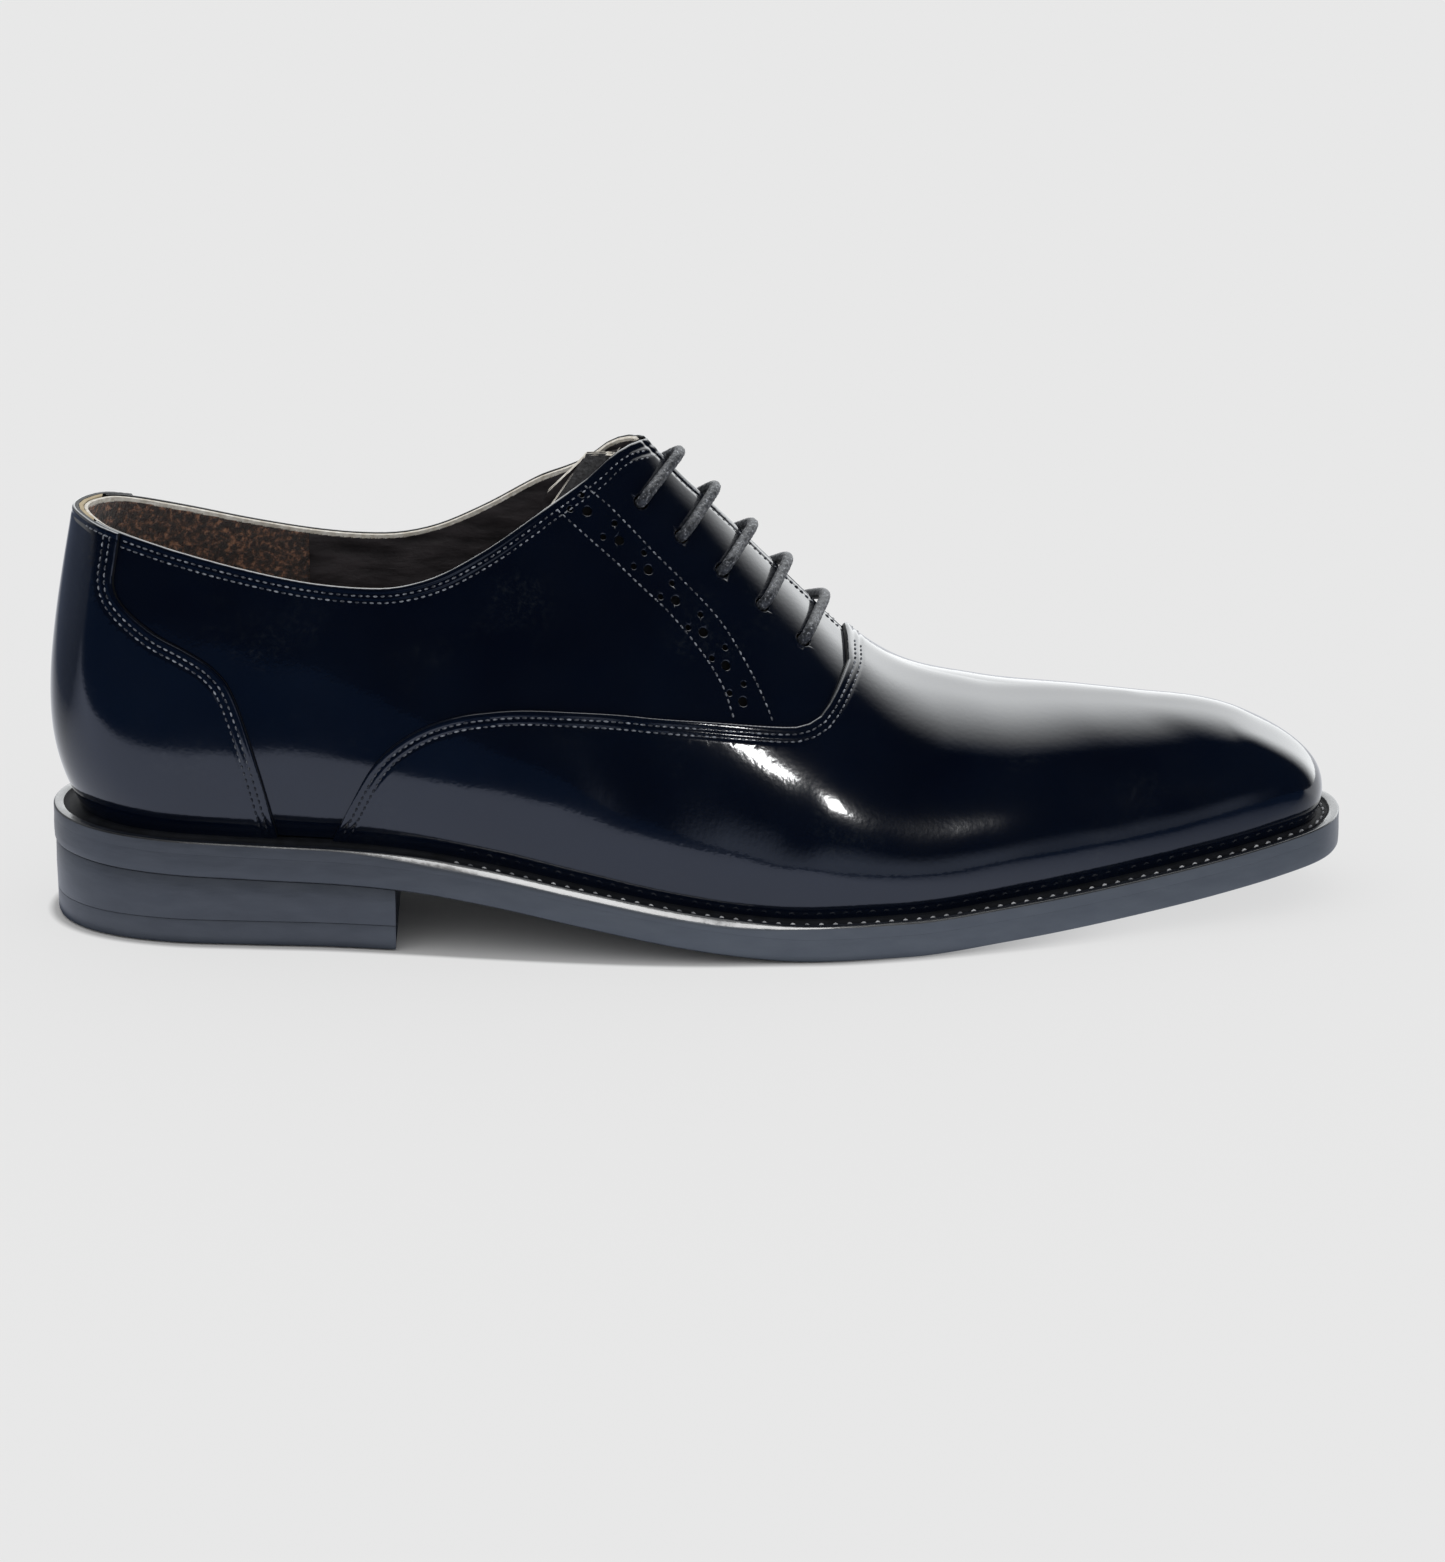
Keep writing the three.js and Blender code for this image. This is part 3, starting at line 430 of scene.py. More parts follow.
class Patch:
    """Triangles on the last's surface. Each vertex is a row: rib, fraction up it, side."""

    def __init__(self, sides, spacing=SKIN_SPACING):
        fine = np.linspace(0, LAST_RIB, 1800)
        rows = 64
        grids = []
        for side in sides:
            feet, _ = foot(fine, np.full(len(fine), side))
            middles = last_point(fine, np.full(len(fine), 0.45), np.full(len(fine), side))
            along = (lengths_along(feet) + lengths_along(middles)) / 2
            count = int(along[-1] / spacing)
            ks = np.interp(np.linspace(0, along[-1], count + 1), along, fine)
            ks[[0, -1]] = 0, LAST_RIB
            grids.append(self.grid(ks, np.linspace(0, 1, rows + 1), side))
        self.vertices = np.vstack([vertices for vertices, _ in grids])
        firsts = np.cumsum([0] + [len(vertices) for vertices, _ in grids])
        self.triangles = np.vstack([tris + first for (_, tris), first in zip(grids, firsts)])
        self.place = last_point(*self.vertices.T)
        self.normal = last_normal(*self.vertices.T)

    @staticmethod
    def grid(ks, vs, side):
        k, v = np.meshgrid(ks, vs, indexing="ij")
        vertices = np.column_stack([k.ravel(), v.ravel(), np.full(k.size, side)])
        index = np.arange(k.size).reshape(k.shape)
        a, b, c, d = index[:-1, :-1], index[1:, :-1], index[1:, 1:], index[:-1, 1:]
        corners = [[a, b, c], [a, c, d]] if side < 0 else [[a, c, b], [a, d, c]]
        triangles = np.vstack([np.stack(c, -1).reshape(-1, 3) for c in corners])
        return vertices, triangles

    def points(self, depth=0.0):
        return self.place - self.normal * np.broadcast_to(depth, len(self.place))[:, None]

    def cut_edges(self, share_of):
        """Splits edges where share_of(first ends, second ends) isn't nan, at that share."""
        t = self.triangles
        edges = np.sort(t[:, [[0, 1], [1, 2], [2, 0]]].reshape(-1, 2), axis=1)
        codes, inverse = np.unique(edges @ (len(self.vertices), 1), return_inverse=True)
        unique = np.column_stack(np.divmod(codes, len(self.vertices)))
        share = share_of(unique[:, 0], unique[:, 1])
        marked = ~np.isnan(share)
        if not marked.any():
            return False
        ids = np.full(len(unique), -1)
        ids[marked] = len(self.vertices) + np.arange(marked.sum())
        a, b = self.vertices[unique[marked, 0]], self.vertices[unique[marked, 1]]
        added = a + share[marked, None] * (b - a)
        self.vertices = np.vstack([self.vertices, added])
        self.place = np.vstack([self.place, last_point(*added.T)])
        self.normal = np.vstack([self.normal, last_normal(*added.T)])
        middle = ids[inverse.reshape(-1)].reshape(-1, 3)
        count = (middle >= 0).sum(1)
        one, two, three = (np.flatnonzero(count == n) for n in (1, 2, 3))
        made = [t[count == 0]]

        def split(rows, first, *pieces):
            """Triangles made of corners 0 to 2 and edge middles 3 to 5, counted from the first corner."""
            order = (first[:, None] + np.arange(3)) % 3
            both = [np.take_along_axis(part[rows], order, 1) for part in (t, middle)]
            made.extend(np.hstack(both)[:, piece] for piece in pieces)

        split(one, (middle[one] >= 0).argmax(1), [0, 3, 2], [3, 1, 2])
        split(two, ((middle[two] < 0).argmax(1) + 1) % 3, [3, 1, 4], [0, 3, 4], [0, 4, 2])
        split(three, np.zeros(len(three), int), [0, 3, 5], [3, 1, 4], [5, 4, 2], [3, 4, 5])
        self.triangles = np.vstack(made)
        return True

    def refine(self, spacing_at):
        """Halves edges until none is longer than spacing_at(their middles)."""
        for _ in range(5):
            place = self.place

            def share_of(a, b):
                long = np.linalg.norm(place[a] - place[b], axis=1)
                return np.where(long > spacing_at((place[a] + place[b]) / 2), 0.5, np.nan)

            if not self.cut_edges(share_of):
                return

    def score(self, field, depth, level=0.0):
        """Puts vertices along the line where the field has that value."""
        value = field(self.points(depth)) - level
        value[abs(value) < 1e-7] = 0

        def share_of(a, b):
            crosses = value[a] * value[b] < 0
            return np.where(crosses, value[a] / np.where(crosses, value[a] - value[b], 1), np.nan)

        self.cut_edges(share_of)

    def drop(self, field, depth):
        """Takes away what lies where the field is positive, cutting exactly along its zero line."""
        self.score(field, depth)
        value = field(self.points(depth))[self.triangles]
        strongest = np.take_along_axis(value, abs(value).argmax(1)[:, None], 1)[:, 0]
        self.triangles = self.triangles[strongest < 0]
        self.tidy()

    def line_edges(self, depth, *lines):
        """Puts rows of vertices a little inside those lines, where their edges are rounded."""
        for level in EDGE_STEPS:
            for line in lines:
                self.score(line, depth, -level)

    def tidy(self):
        used, inverse = np.unique(self.triangles, return_inverse=True)
        self.keep(used)
        self.triangles = inverse.reshape(-1, 3)

    def keep(self, rows):
        self.vertices, self.place, self.normal = self.vertices[rows], self.place[rows], self.normal[rows]

    def weld(self):
        """Joins the two sides where they meet."""
        key = np.round(self.place / (0.002 * MM)).astype(np.int64)
        _, first, inverse = np.unique(key, axis=0, return_index=True, return_inverse=True)
        triangles = inverse.reshape(-1)[self.triangles]
        self.keep(first)
        a, b, c = triangles.T
        self.triangles = triangles[(a != b) & (b != c) & (c != a)]

    def rim(self):
        """The open edges, each from its first to its second vertex."""
        edges = self.triangles[:, [[0, 1], [1, 2], [2, 0]]].reshape(-1, 2)
        codes = np.sort(edges, axis=1) @ (len(self.vertices), 1)
        _, inverse, count = np.unique(codes, return_inverse=True, return_counts=True)
        return edges[count[inverse.reshape(-1)] == 1]


def mesh_object(name, points, faces, material_list, slots=None, smooth=True):
    mesh = bpy.data.meshes.new(name)
    mesh.from_pydata(points, [], faces)
    for material in material_list:
        mesh.materials.append(material)
    if slots is not None:
        mesh.polygons.foreach_set("material_index", np.asarray(slots, np.int32))
    mesh.polygons.foreach_set("use_smooth", np.full(len(mesh.polygons), smooth))
    mesh.update()
    made = bpy.data.objects.new(name, mesh)
    bpy.context.scene.collection.objects.link(made)
    return made


def rounding(distance, radius=EDGE_ROUNDING):
    """How far a rounded edge lies below the flat at a distance in from it."""
    near = radius - np.clip(distance, 0, radius)
    return radius - np.sqrt(np.maximum(radius**2 - near**2, 0))


def valleys(distance, rows, depth=0.16 * MM, width=0.42 * MM):
    """The dips that rows of stitches pull into the leather."""
    return sum(depth * np.exp(-(((distance - row) / width) ** 2)) for row in rows)


def shell(name, patch, layers, materials, outside, inside=None, raw=None):
    """A sheet of leather between two depths: materials for its outer face, inner face and cut edges.
    outside(points) and inside(points) are added to the depths. Where raw(points) is positive, the inner
    face and the edges take the fourth material."""
    patch.weld()
    surface = patch.points(layers[0])
    outer = patch.points(layers[0] + outside(surface))
    inner = patch.points(layers[1] + (inside(surface) if inside else 0.0))
    rim = patch.rim()
    count = len(outer)
    t = patch.triangles
    walls = np.vstack([
        np.column_stack([rim[:, 1], rim[:, 0], rim[:, 0] + count]),
        np.column_stack([rim[:, 1], rim[:, 0] + count, rim[:, 1] + count]),
    ])
    faces = np.vstack([t, t[:, ::-1] + count, walls])
    slots = np.repeat([0, 1, 2], [len(t), len(t), len(walls)])
    points = np.vstack([outer, inner])
    if raw:
        slots[(slots > 0) & (raw(points[faces].mean(1)) > 0)] = 3
    made = mesh_object(name, points, faces.tolist(), materials, slots)
    made.data.set_sharp_from_angle(angle=math.radians(50))
    return made


def relief(points, scale, height, seed=0.0):
    """Gentle unevenness: noise of that wavelength and height at each point."""
    shifted = points / scale + seed
    return height * np.array([noise.noise(Vector(p)) for p in shifted])


# ---- Materials ----------------------------------------------------------------------------


class Nodes:
    """Short ways to build a tree of shader nodes."""

    def __init__(self, tree):
        self.tree = tree

    def add(self, kind, **values):
        node = self.tree.nodes.new(kind)
        for key, value in values.items():
            if key in node.inputs:
                node.inputs[key].default_value = value
            else:
                setattr(node, key, value)
        return node

    def link(self, a, b):
        self.tree.links.new(a, b)

    def give(self, socket, source):
        """Sets a socket to a number or a colour, or links another socket to it."""
        if isinstance(source, tuple):
            socket.default_value = (*source, 1)
        elif isinstance(source, (int, float)):
            socket.default_value = source
        else:
            self.link(source, socket)

    def axes(self, vector):
        node = self.add("ShaderNodeSeparateXYZ")
        self.link(vector, node.inputs[0])
        return node.outputs

    def maths(self, operation, a, b):
        node = self.add("ShaderNodeMath", operation=operation)
        self.give(node.inputs[0], a)
        self.give(node.inputs[1], b)
        return node.outputs[0]

    def times(self, *factors):
        product = factors[0]
        for factor in factors[1:]:
            product = self.maths("MULTIPLY", product, factor)
        return product

    def clamped(self, value):
        return self.maths("MAXIMUM", self.maths("MINIMUM", value, 1.0), 0.0)

    def ramp(self, source, low, high, start=0.0, end=1.0):
        node = self.add("ShaderNodeMapRange", interpolation_type="SMOOTHSTEP")
        names = ("Value", "From Min", "From Max", "To Min", "To Max")
        for name, value in zip(names, (source, low, high, start, end)):
            self.give(node.inputs[name], value)
        return node.outputs["Result"]

    def blended(self, share, first, second):
        """A mix of two numbers, each a socket or a plain number."""
        node = self.add("ShaderNodeMix")
        for socket, value in zip((node.inputs[0], node.inputs[2], node.inputs[3]), (share, first, second)):
            self.give(socket, value)
        return node.outputs[0]

    def mixed(self, share, first, second):
        """A mix of two colours, each a socket or a plain colour."""
        node = self.add("ShaderNodeMix", data_type="RGBA")
        for socket, value in zip((node.inputs[0], node.inputs[6], node.inputs[7]), (share, first, second)):
            self.give(socket, value)
        return node.outputs[2]


class Look(Nodes):
    """A node material built round one Principled shader."""

    def __init__(self, name, roughness, coat=0.0, coat_roughness=0.05, metallic=0.0, sheen=0.0):
        self.material = bpy.data.materials.new(name)
        self.material.use_nodes = True
        super().__init__(self.material.node_tree)
        self.shader = self.tree.nodes["Principled BSDF"]
        self.shader.inputs["Roughness"].default_value = roughness
        self.shader.inputs["Metallic"].default_value = metallic
        self.shader.inputs["Coat Weight"].default_value = coat
        self.shader.inputs["Coat Roughness"].default_value = coat_roughness
        self.shader.inputs["Sheen Weight"].default_value = sheen
        self.place = self.add("ShaderNodeTexCoord").outputs["Object"]
        self.height = None

    def noise(self, size, detail=3.0, stretch=(1, 1, 1), rough=0.5):
        """Noise whose features are about `size` metres across."""
        mapping = self.add("ShaderNodeMapping")
        mapping.inputs["Scale"].default_value = stretch
        self.link(self.place, mapping.inputs["Vector"])
        node = self.add("ShaderNodeTexNoise", Scale=1 / size, Detail=detail, Roughness=rough)
        self.link(mapping.outputs["Vector"], node.inputs["Vector"])
        return node.outputs["Fac"]

    def between(self, factor, colours, low=0.3, high=0.7):
        """Colours spread evenly over the factor, from low to high."""
        ramp = self.add("ShaderNodeValToRGB")
        while len(ramp.color_ramp.elements) < len(colours):
            ramp.color_ramp.elements.new(0.5)
        spread = np.linspace(low, high, len(colours))
        for element, position, colour in zip(ramp.color_ramp.elements, spread, colours):
            element.position = position
            element.color = (*colour, 1)
        self.link(factor, ramp.inputs["Fac"])
        return ramp.outputs["Color"]

    def colour(self, socket):
        self.link(socket, self.shader.inputs["Base Color"])

    def vary_roughness(self, factor, low, high):
        mapped = self.add("ShaderNodeMapRange")
        mapped.inputs["To Min"].default_value = low
        mapped.inputs["To Max"].default_value = high
        self.link(factor, mapped.inputs["Value"])
        self.link(mapped.outputs["Result"], self.shader.inputs["Roughness"])

    def bump(self, factor, height, strength=1.0):
        """Adds fine relief of that height in metres on top of what is there."""
        node = self.add("ShaderNodeBump", Distance=height, Strength=strength)
        self.link(factor, node.inputs["Height"])
        if self.height is not None:
            self.link(self.height, node.inputs["Normal"])
        self.height = node.outputs["Normal"]
        self.link(self.height, self.shader.inputs["Normal"])
        if self.shader.inputs["Coat Weight"].default_value > 0:
            self.link(self.height, self.shader.inputs["Coat Normal"])


def polished_leather():
    look = Look("polished_leather", roughness=0.16, coat=1.0, coat_roughness=0.05)
    black = look.between(look.noise(0.03), [(0.0004, 0.0016, 0.0058), (0.0014, 0.0034, 0.0095)])
    patches = look.between(look.noise(0.022, 2), [(0, 0, 0), (1, 1, 1)], 0.56, 0.74)
    scuffs = look.between(look.noise(0.0014, 5, rough=0.75), [(0, 0, 0), (1, 1, 1)], 0.5, 0.75)
    dust = look.maths("MULTIPLY", patches, scuffs)
    look.colour(look.mixed(dust, black, (0.014, 0.017, 0.021)))
    look.vary_roughness(look.noise(0.012, 4), 0.08, 0.18)
    look.bump(look.noise(0.0011, 2), 0.000012)
    look.bump(look.noise(0.02, 1), 0.00012)
    return look.material


def cut_leather():
    look = Look("cut_leather_edge", roughness=0.6)
    look.colour(look.between(look.noise(0.002), [(0.001, 0.0014, 0.0025), (0.004, 0.0045, 0.006)]))
    look.bump(look.noise(0.0005), 0.00003)
    return look.material


def seam_thread():
    """Waxed thread: its pale tone higher up is a painted highlight, and below a set height near the welt it
    stays dark.
    """
    look = Look("seam_thread", roughness=0.38, coat=0.5, coat_roughness=0.25)
    thread = look.between(look.noise(0.0012, 2), [(0.03, 0.033, 0.042), (0.26, 0.28, 0.32)], 0.4, 0.66)
    height = look.axes(look.place)[2]
    # Painted highlight: the pale thread colour is kept above a set height, and the thread is darkened below
    # it.
    low = look.clamped(look.times(look.maths("SUBTRACT", THREAD_HIGHLIGHT_PAINTED_ABOVE, height), 60.0))
    look.colour(look.mixed(low, thread, (0.016, 0.018, 0.026)))
    look.bump(look.noise(0.0003, 1), 0.00004)
    return look.material


def welt_thread():
    look = Look("welt_thread", roughness=0.5)
    look.colour(look.between(look.noise(0.003, 2), [(0.12, 0.125, 0.14), (0.5, 0.51, 0.53)], 0.3, 0.6))
    look.bump(look.noise(0.0004, 1), 0.00006)
    return look.material


def welt_leather():
    look = Look("welt_leather", roughness=0.6)
    look.shader.inputs["Specular IOR Level"].default_value = 0.12
    look.colour(look.between(look.noise(0.004, 4), [(0.002, 0.003, 0.0055), (0.008, 0.0095, 0.014)]))
    look.bump(look.noise(0.0008, 3), 0.00005)
    return look.material


def welt_bead():
    look = Look("waxed_welt_bead", roughness=0.38, coat=1.0, coat_roughness=0.14)
    look.colour(look.between(look.noise(0.004, 4), [(0.002, 0.003, 0.006), (0.007, 0.009, 0.014)]))
    look.bump(look.noise(0.0022, 3), 0.00004)
    return look.material


def sole_edge():
    look = Look("sole_edge_finish", roughness=0.36, coat=0.35, coat_roughness=0.22)
    streaks = look.noise(0.004, 5, stretch=(0.5, 0.5, 1.5))
    heel = look.between(streaks, [(0.036, 0.043, 0.057), (0.046, 0.054, 0.07)])
    forepart = look.between(streaks, [(0.058, 0.07, 0.09), (0.07, 0.084, 0.105)])
    x = look.axes(look.place)[0]
    ahead = look.clamped(look.times(look.maths("SUBTRACT", x, 0.03), 12.0))
    look.colour(look.mixed(ahead, heel, forepart))
    look.vary_roughness(look.noise(0.009, 3), 0.3, 0.5)
    look.bump(look.noise(0.0015, 3, stretch=(0.3, 0.3, 1.6)), 0.00004)
    return look.material


def suede():
    look = Look("brown_suede", roughness=0.95, sheen=0.5)
    nap = look.noise(0.0016, 5, rough=0.75)
    colours = [(0.01, 0.005, 0.004), (0.07, 0.03, 0.018), (0.55, 0.26, 0.14)]
    # The colour follows the nap's relief: its orange flecks are the suede's own tone, and the near-black
    # hollows are painted shade.
    look.colour(look.between(nap, colours, 0.42, 0.62))
    look.bump(nap, 0.0016)
    look.bump(look.noise(0.0006, 4, rough=0.75), 0.0006)
    return look.material


def lining_leather():
    look = Look("dark_lining_leather", roughness=0.5, coat=0.1, coat_roughness=0.3)
    creases = look.noise(0.006, 5, stretch=(0.5, 1, 1.4))
    # Painted shade: the colour follows the crease relief and is darker in its hollows.
    look.colour(look.between(creases, [(0.018, 0.016, 0.018), (0.06, 0.052, 0.056)]))
    look.vary_roughness(creases, 0.42, 0.65)
    look.bump(creases, 0.0012)
    look.bump(look.noise(0.0009, 3), 0.00008)
    return look.material


def raw_edge():
    look = Look("raw_cream_edge", roughness=0.9)
    look.colour(look.between(look.noise(0.0016, 4), [(0.55, 0.5, 0.42), (0.85, 0.83, 0.77)]))
    look.bump(look.noise(0.0006, 4), 0.0002)
    return look.material


def lace_cotton():
    look = Look("waxed_lace", roughness=0.5, coat=0.25, coat_roughness=0.3)
    flecks = look.noise(0.0006, 3, rough=0.6)
    colours = [(0.01, 0.012, 0.016), (0.04, 0.045, 0.056), (0.5, 0.52, 0.56)]
    look.colour(look.between(flecks, colours, 0.36, 0.78))
    look.bump(look.noise(0.00035, 2), 0.0001)
    return look.material


def tongue_leather():
    look = Look("tongue_leather", roughness=0.55)
    look.colour(look.between(look.noise(0.0008, 3), [(0.014, 0.014, 0.016), (0.06, 0.06, 0.065)]))
    look.bump(look.noise(0.0006, 3), 0.00015)
    return look.material


def plain(name, dark, light, size, roughness, metallic=0.0, height=0.00005):
    """A two-tone material for pieces that hardly show."""
    look = Look(name, roughness=roughness, metallic=metallic)
    look.colour(look.between(look.noise(size, 4), [dark, light]))
    look.bump(look.noise(size / 3, 3), height)
    return look.material


LEATHER = polished_leather()
CUT = cut_leather()
SEAM_THREAD = seam_thread()
WELT_THREAD = welt_thread()
WELT = welt_leather()
WELT_BEAD = welt_bead()
SOLE = sole_edge()
SUEDE = suede()
LINING_LEATHER = lining_leather()
RAW = raw_edge()
LACE = lace_cotton()
TONGUE_LEATHER = tongue_leather()
HIDDEN = {
    "cork_filler": plain("cork", (0.12, 0.06, 0.03), (0.36, 0.22, 0.12), 0.003, 0.9, height=0.0004),
    "shank": plain("spring_steel", (0.3, 0.3, 0.32), (0.5, 0.5, 0.52), 0.01, 0.35, 1.0),
    "heel_nail": plain("nail_steel", (0.3, 0.3, 0.3), (0.45, 0.45, 0.46), 0.004, 0.4, 1.0),
    "insole": plain("insole_board", (0.3, 0.18, 0.1), (0.42, 0.27, 0.16), 0.006, 0.85),
    "sock_liner": plain("sock_leather", (0.012, 0.009, 0.008), (0.04, 0.03, 0.026), 0.006, 0.55),
    "heel_stiffener": plain("stiffener_board", (0.4, 0.32, 0.2), (0.5, 0.42, 0.28), 0.004, 0.9),
    "toe_puff": plain("puff_board", (0.4, 0.32, 0.2), (0.5, 0.42, 0.28), 0.004, 0.9),
    "vamp_backer": plain("backer_cloth", (0.5, 0.47, 0.4), (0.66, 0.63, 0.56), 0.001, 0.9),
    "eyelet": plain("eyelet_brass", (0.4, 0.27, 0.1), (0.6, 0.42, 0.18), 0.003, 0.35, 1.0),
    "lace_tip": plain("lace_tip_plastic", (0.008, 0.008, 0.009), (0.02, 0.02, 0.022), 0.004, 0.3),
}


def paint_hidden_nodes():
    for name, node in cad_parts.items():
        for prefix, material in HIDDEN.items():
            if name.startswith(prefix):
                node.data.materials.clear()
                node.data.materials.append(material)


def finish_piece(made, slot, *replaced, body="shoe"):
    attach(made, body)
    if replaced:
        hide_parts(*replaced)
    return made


# ---- The upper ----------------------------------------------------------------------------


def beside_lines(*lines, band=4.6 * MM):
    """The spacing of a mesh that is fine beside those lines and plain elsewhere."""

    def spacing_at(points):
        near = np.min([abs(line(points)) for line in lines], axis=0)
        return np.where(near < band, SEAM_SPACING, SKIN_SPACING * 1.6)

    return spacing_at


def leather_relief(points):
    return relief(points, 26 * MM, 0.14 * MM) + relief(points, 9 * MM, 0.03 * MM, 3.0)


def even_out_toe(patch, reach=18 * MM):
    """Rounds off the top of the toe, where the ribs fan out from one point."""
    pole = last_point(np.array([LAST_RIB]), np.ones(1), np.ones(1))[0]
    x, y, z = (patch.place - pole).T
    distance = np.hypot(x, y)
    powers = [(i, j) for i in range(5) for j in range(5 - i)]
    terms = np.column_stack([(x / reach) ** i * (y / reach) ** j for i, j in powers])
    near = (distance < 1.15 * reach) & (z > -20 * MM)
    weight = np.where(distance > 0.7 * reach, 1.0, 0.4)[near, None]
    fit = np.linalg.lstsq(terms[near] * weight, z[near] * weight[:, 0], rcond=None)[0]
    share = 1 - smoothstep(distance, 0.55 * reach, reach)
    patch.place[near, 2] += (share * (terms @ fit - z))[near]


def make_vamp():
    patch = Patch([LATERAL, MEDIAL])
    ahead = opposite(wing_line)
    patch.drop(lambda p: ahead(p) - CUT_MARGIN, OVERLAY[0])
    patch.refine(beside_lines(wing_line))
    patch.drop(ahead, OVERLAY[0])
    patch.drop(below_seat, OVERLAY[0])
    patch.line_edges(OVERLAY[0], ahead)
    even_out_toe(patch)

    def outside(points):
        inward = wing_line(points)
        return rounding(inward) + valleys(inward, SEAM_ROWS) + leather_relief(points)

    made = shell("vamp_leather", patch, OVERLAY, [LEATHER, CUT, CUT], outside)
    finish_piece(made, "upper_leather", "vamp")


def make_counter():
    patch = Patch([LATERAL, MEDIAL])
    patch.drop(lambda p: counter_line(p) - CUT_MARGIN, OVERLAY[0])
    patch.refine(beside_lines(counter_line, topline_line))
    patch.drop(counter_line, OVERLAY[0])
    patch.drop(topline_line, OVERLAY[0])
    patch.drop(below_seat, OVERLAY[0])
    patch.line_edges(OVERLAY[0], counter_line, topline_line)

    def outside(points):
        from_edge, from_top = -counter_line(points), -topline_line(points)
        dips = valleys(from_edge, SEAM_ROWS) + valleys(from_top, TOPLINE_ROWS[:1])
        return rounding(np.minimum(from_edge, from_top)) + dips + leather_relief(points)

    made = shell("counter_leather", patch, OVERLAY, [LEATHER, CUT, CUT], outside)
    finish_piece(made, "upper_leather", "counter")


def slot_between_facings(side, half_gap=FACING_GAP):
    """Positive inside the slot between the facings and beyond it."""
    return lambda points: half_gap - side * (points[:, 1] - ridge(points[:, 0]))


def punched_holes():
    """Side-view centres and radii of the punched holes."""
    row = Through(PUNCH_ROW)
    t = PUNCH_ROW[:, 0]
    centre = row(t)
    along = unit(row(np.minimum(t + 0.1, t[-1])) - row(np.maximum(t - 0.1, 0)))
    across = np.column_stack([-along[:, 1], along[:, 0]])
    back = centre - along * PUNCH_LEAD
    small = np.vstack([back + across * PUNCH_SPREAD, back - across * PUNCH_SPREAD])
    large = centre + along * PUNCH_LEAD
    radii = np.repeat([PUNCH_SMALL_RADIUS, PUNCH_LARGE_RADIUS], [len(small), len(large)])
    return np.vstack([small, large]), radii


def eyelet_line():
    t = np.linspace(0, 1, EYELET_ROWS)[:, None]
    return TOP_EYELET + t * (BOTTOM_EYELET - TOP_EYELET)


def from_holes(points, centres, radii):
    """Distance from the nearest of some round holes, negative inside it."""
    return (np.linalg.norm(points[:, None] - centres, axis=2) - radii).min(1)


def make_quarter(side):
    punched, punched_radii = punched_holes()
    flat = np.vstack([punched, eyelet_line()])
    radii = np.concatenate([punched_radii, np.full(EYELET_ROWS, LACE_HOLE_RADIUS)])
    centres, _ = on_surface(flat, side)
    below = points_below(flat, side)
    gap = slot_between_facings(side)
    beside = beside_lines(topline_line)

    def spacing_at(points):
        hole = from_holes(points, centres, radii)
        fine = np.where(hole < HOLE_MARGIN, HOLE_SPACING, beside(points))
        return np.where(abs(gap(points)) < SLOT_MARGIN, np.minimum(fine, SEAM_SPACING), fine)

    def in_hole(points):
        return -from_holes(points, below, radii)

    def outside(points):
        from_top, from_slot = -topline_line(points), -gap(points)
        dips = valleys(from_top, TOPLINE_ROWS) + valleys(from_slot, [FACING_ROW])
        lips = rounding(-in_hole(points), HOLE_ROUNDING)
        return rounding(np.minimum(from_top, from_slot)) + dips + lips + leather_relief(points)

    patch = Patch([side])
    patch.drop(lambda p: underlap_line(p) - UNDERLAP_MARGIN, MIDDLE[0])
    patch.drop(opposite(counter_underlap_line), MIDDLE[0])
    patch.drop(lambda p: topline_line(p) - QUARTER_MARGIN, MIDDLE[0])
    patch.drop(below_seat, MIDDLE[0])
    patch.refine(spacing_at)
    for field in (topline_line, gap, in_hole):
        patch.drop(field, MIDDLE[0])
    patch.line_edges(MIDDLE[0], topline_line, gap)
    name = SIDE_NAMES[side]
    made = shell("quarter_leather_" + name, patch, MIDDLE, [LEATHER, CUT, CUT], outside)
    finish_piece(made, "upper_leather", "quarter_" + name)


def points_below(flat, side, depth=MIDDLE[0]):
    """Where lines straight in from side-view points meet a layer."""
    place, normal = on_surface(flat, side)
    return place - normal * depth


def make_lining(name, side, fields, material, slot, node, heave):
    """A lining piece: the leather's inner face is the one the foot sees."""
    patch = Patch([side] if side else [LATERAL, MEDIAL])
    for field in fields:
        patch.drop(lambda p, f=field: f(p) - LINING_MARGIN, LINING[0])
    patch.refine(beside_lines(lining_top, band=2.5 * MM))
    for field in fields:
        patch.drop(field, LINING[0])
    patch.drop(lining_top, LINING[0])
    patch.drop(below_seat, LINING[0])

    def level(points):
        return np.zeros(len(points))

    def heaved(points):
        return heave(points) * smoothstep(-lining_top(points), 0.4 * MM, 2 * RAW_EDGE_WIDTH)

    def raw(points):
        return lining_top(points) + RAW_EDGE_WIDTH

    made = shell(name, patch, LINING, [CUT, material, material, RAW], level, heaved, raw)
    finish_piece(made, slot, node)


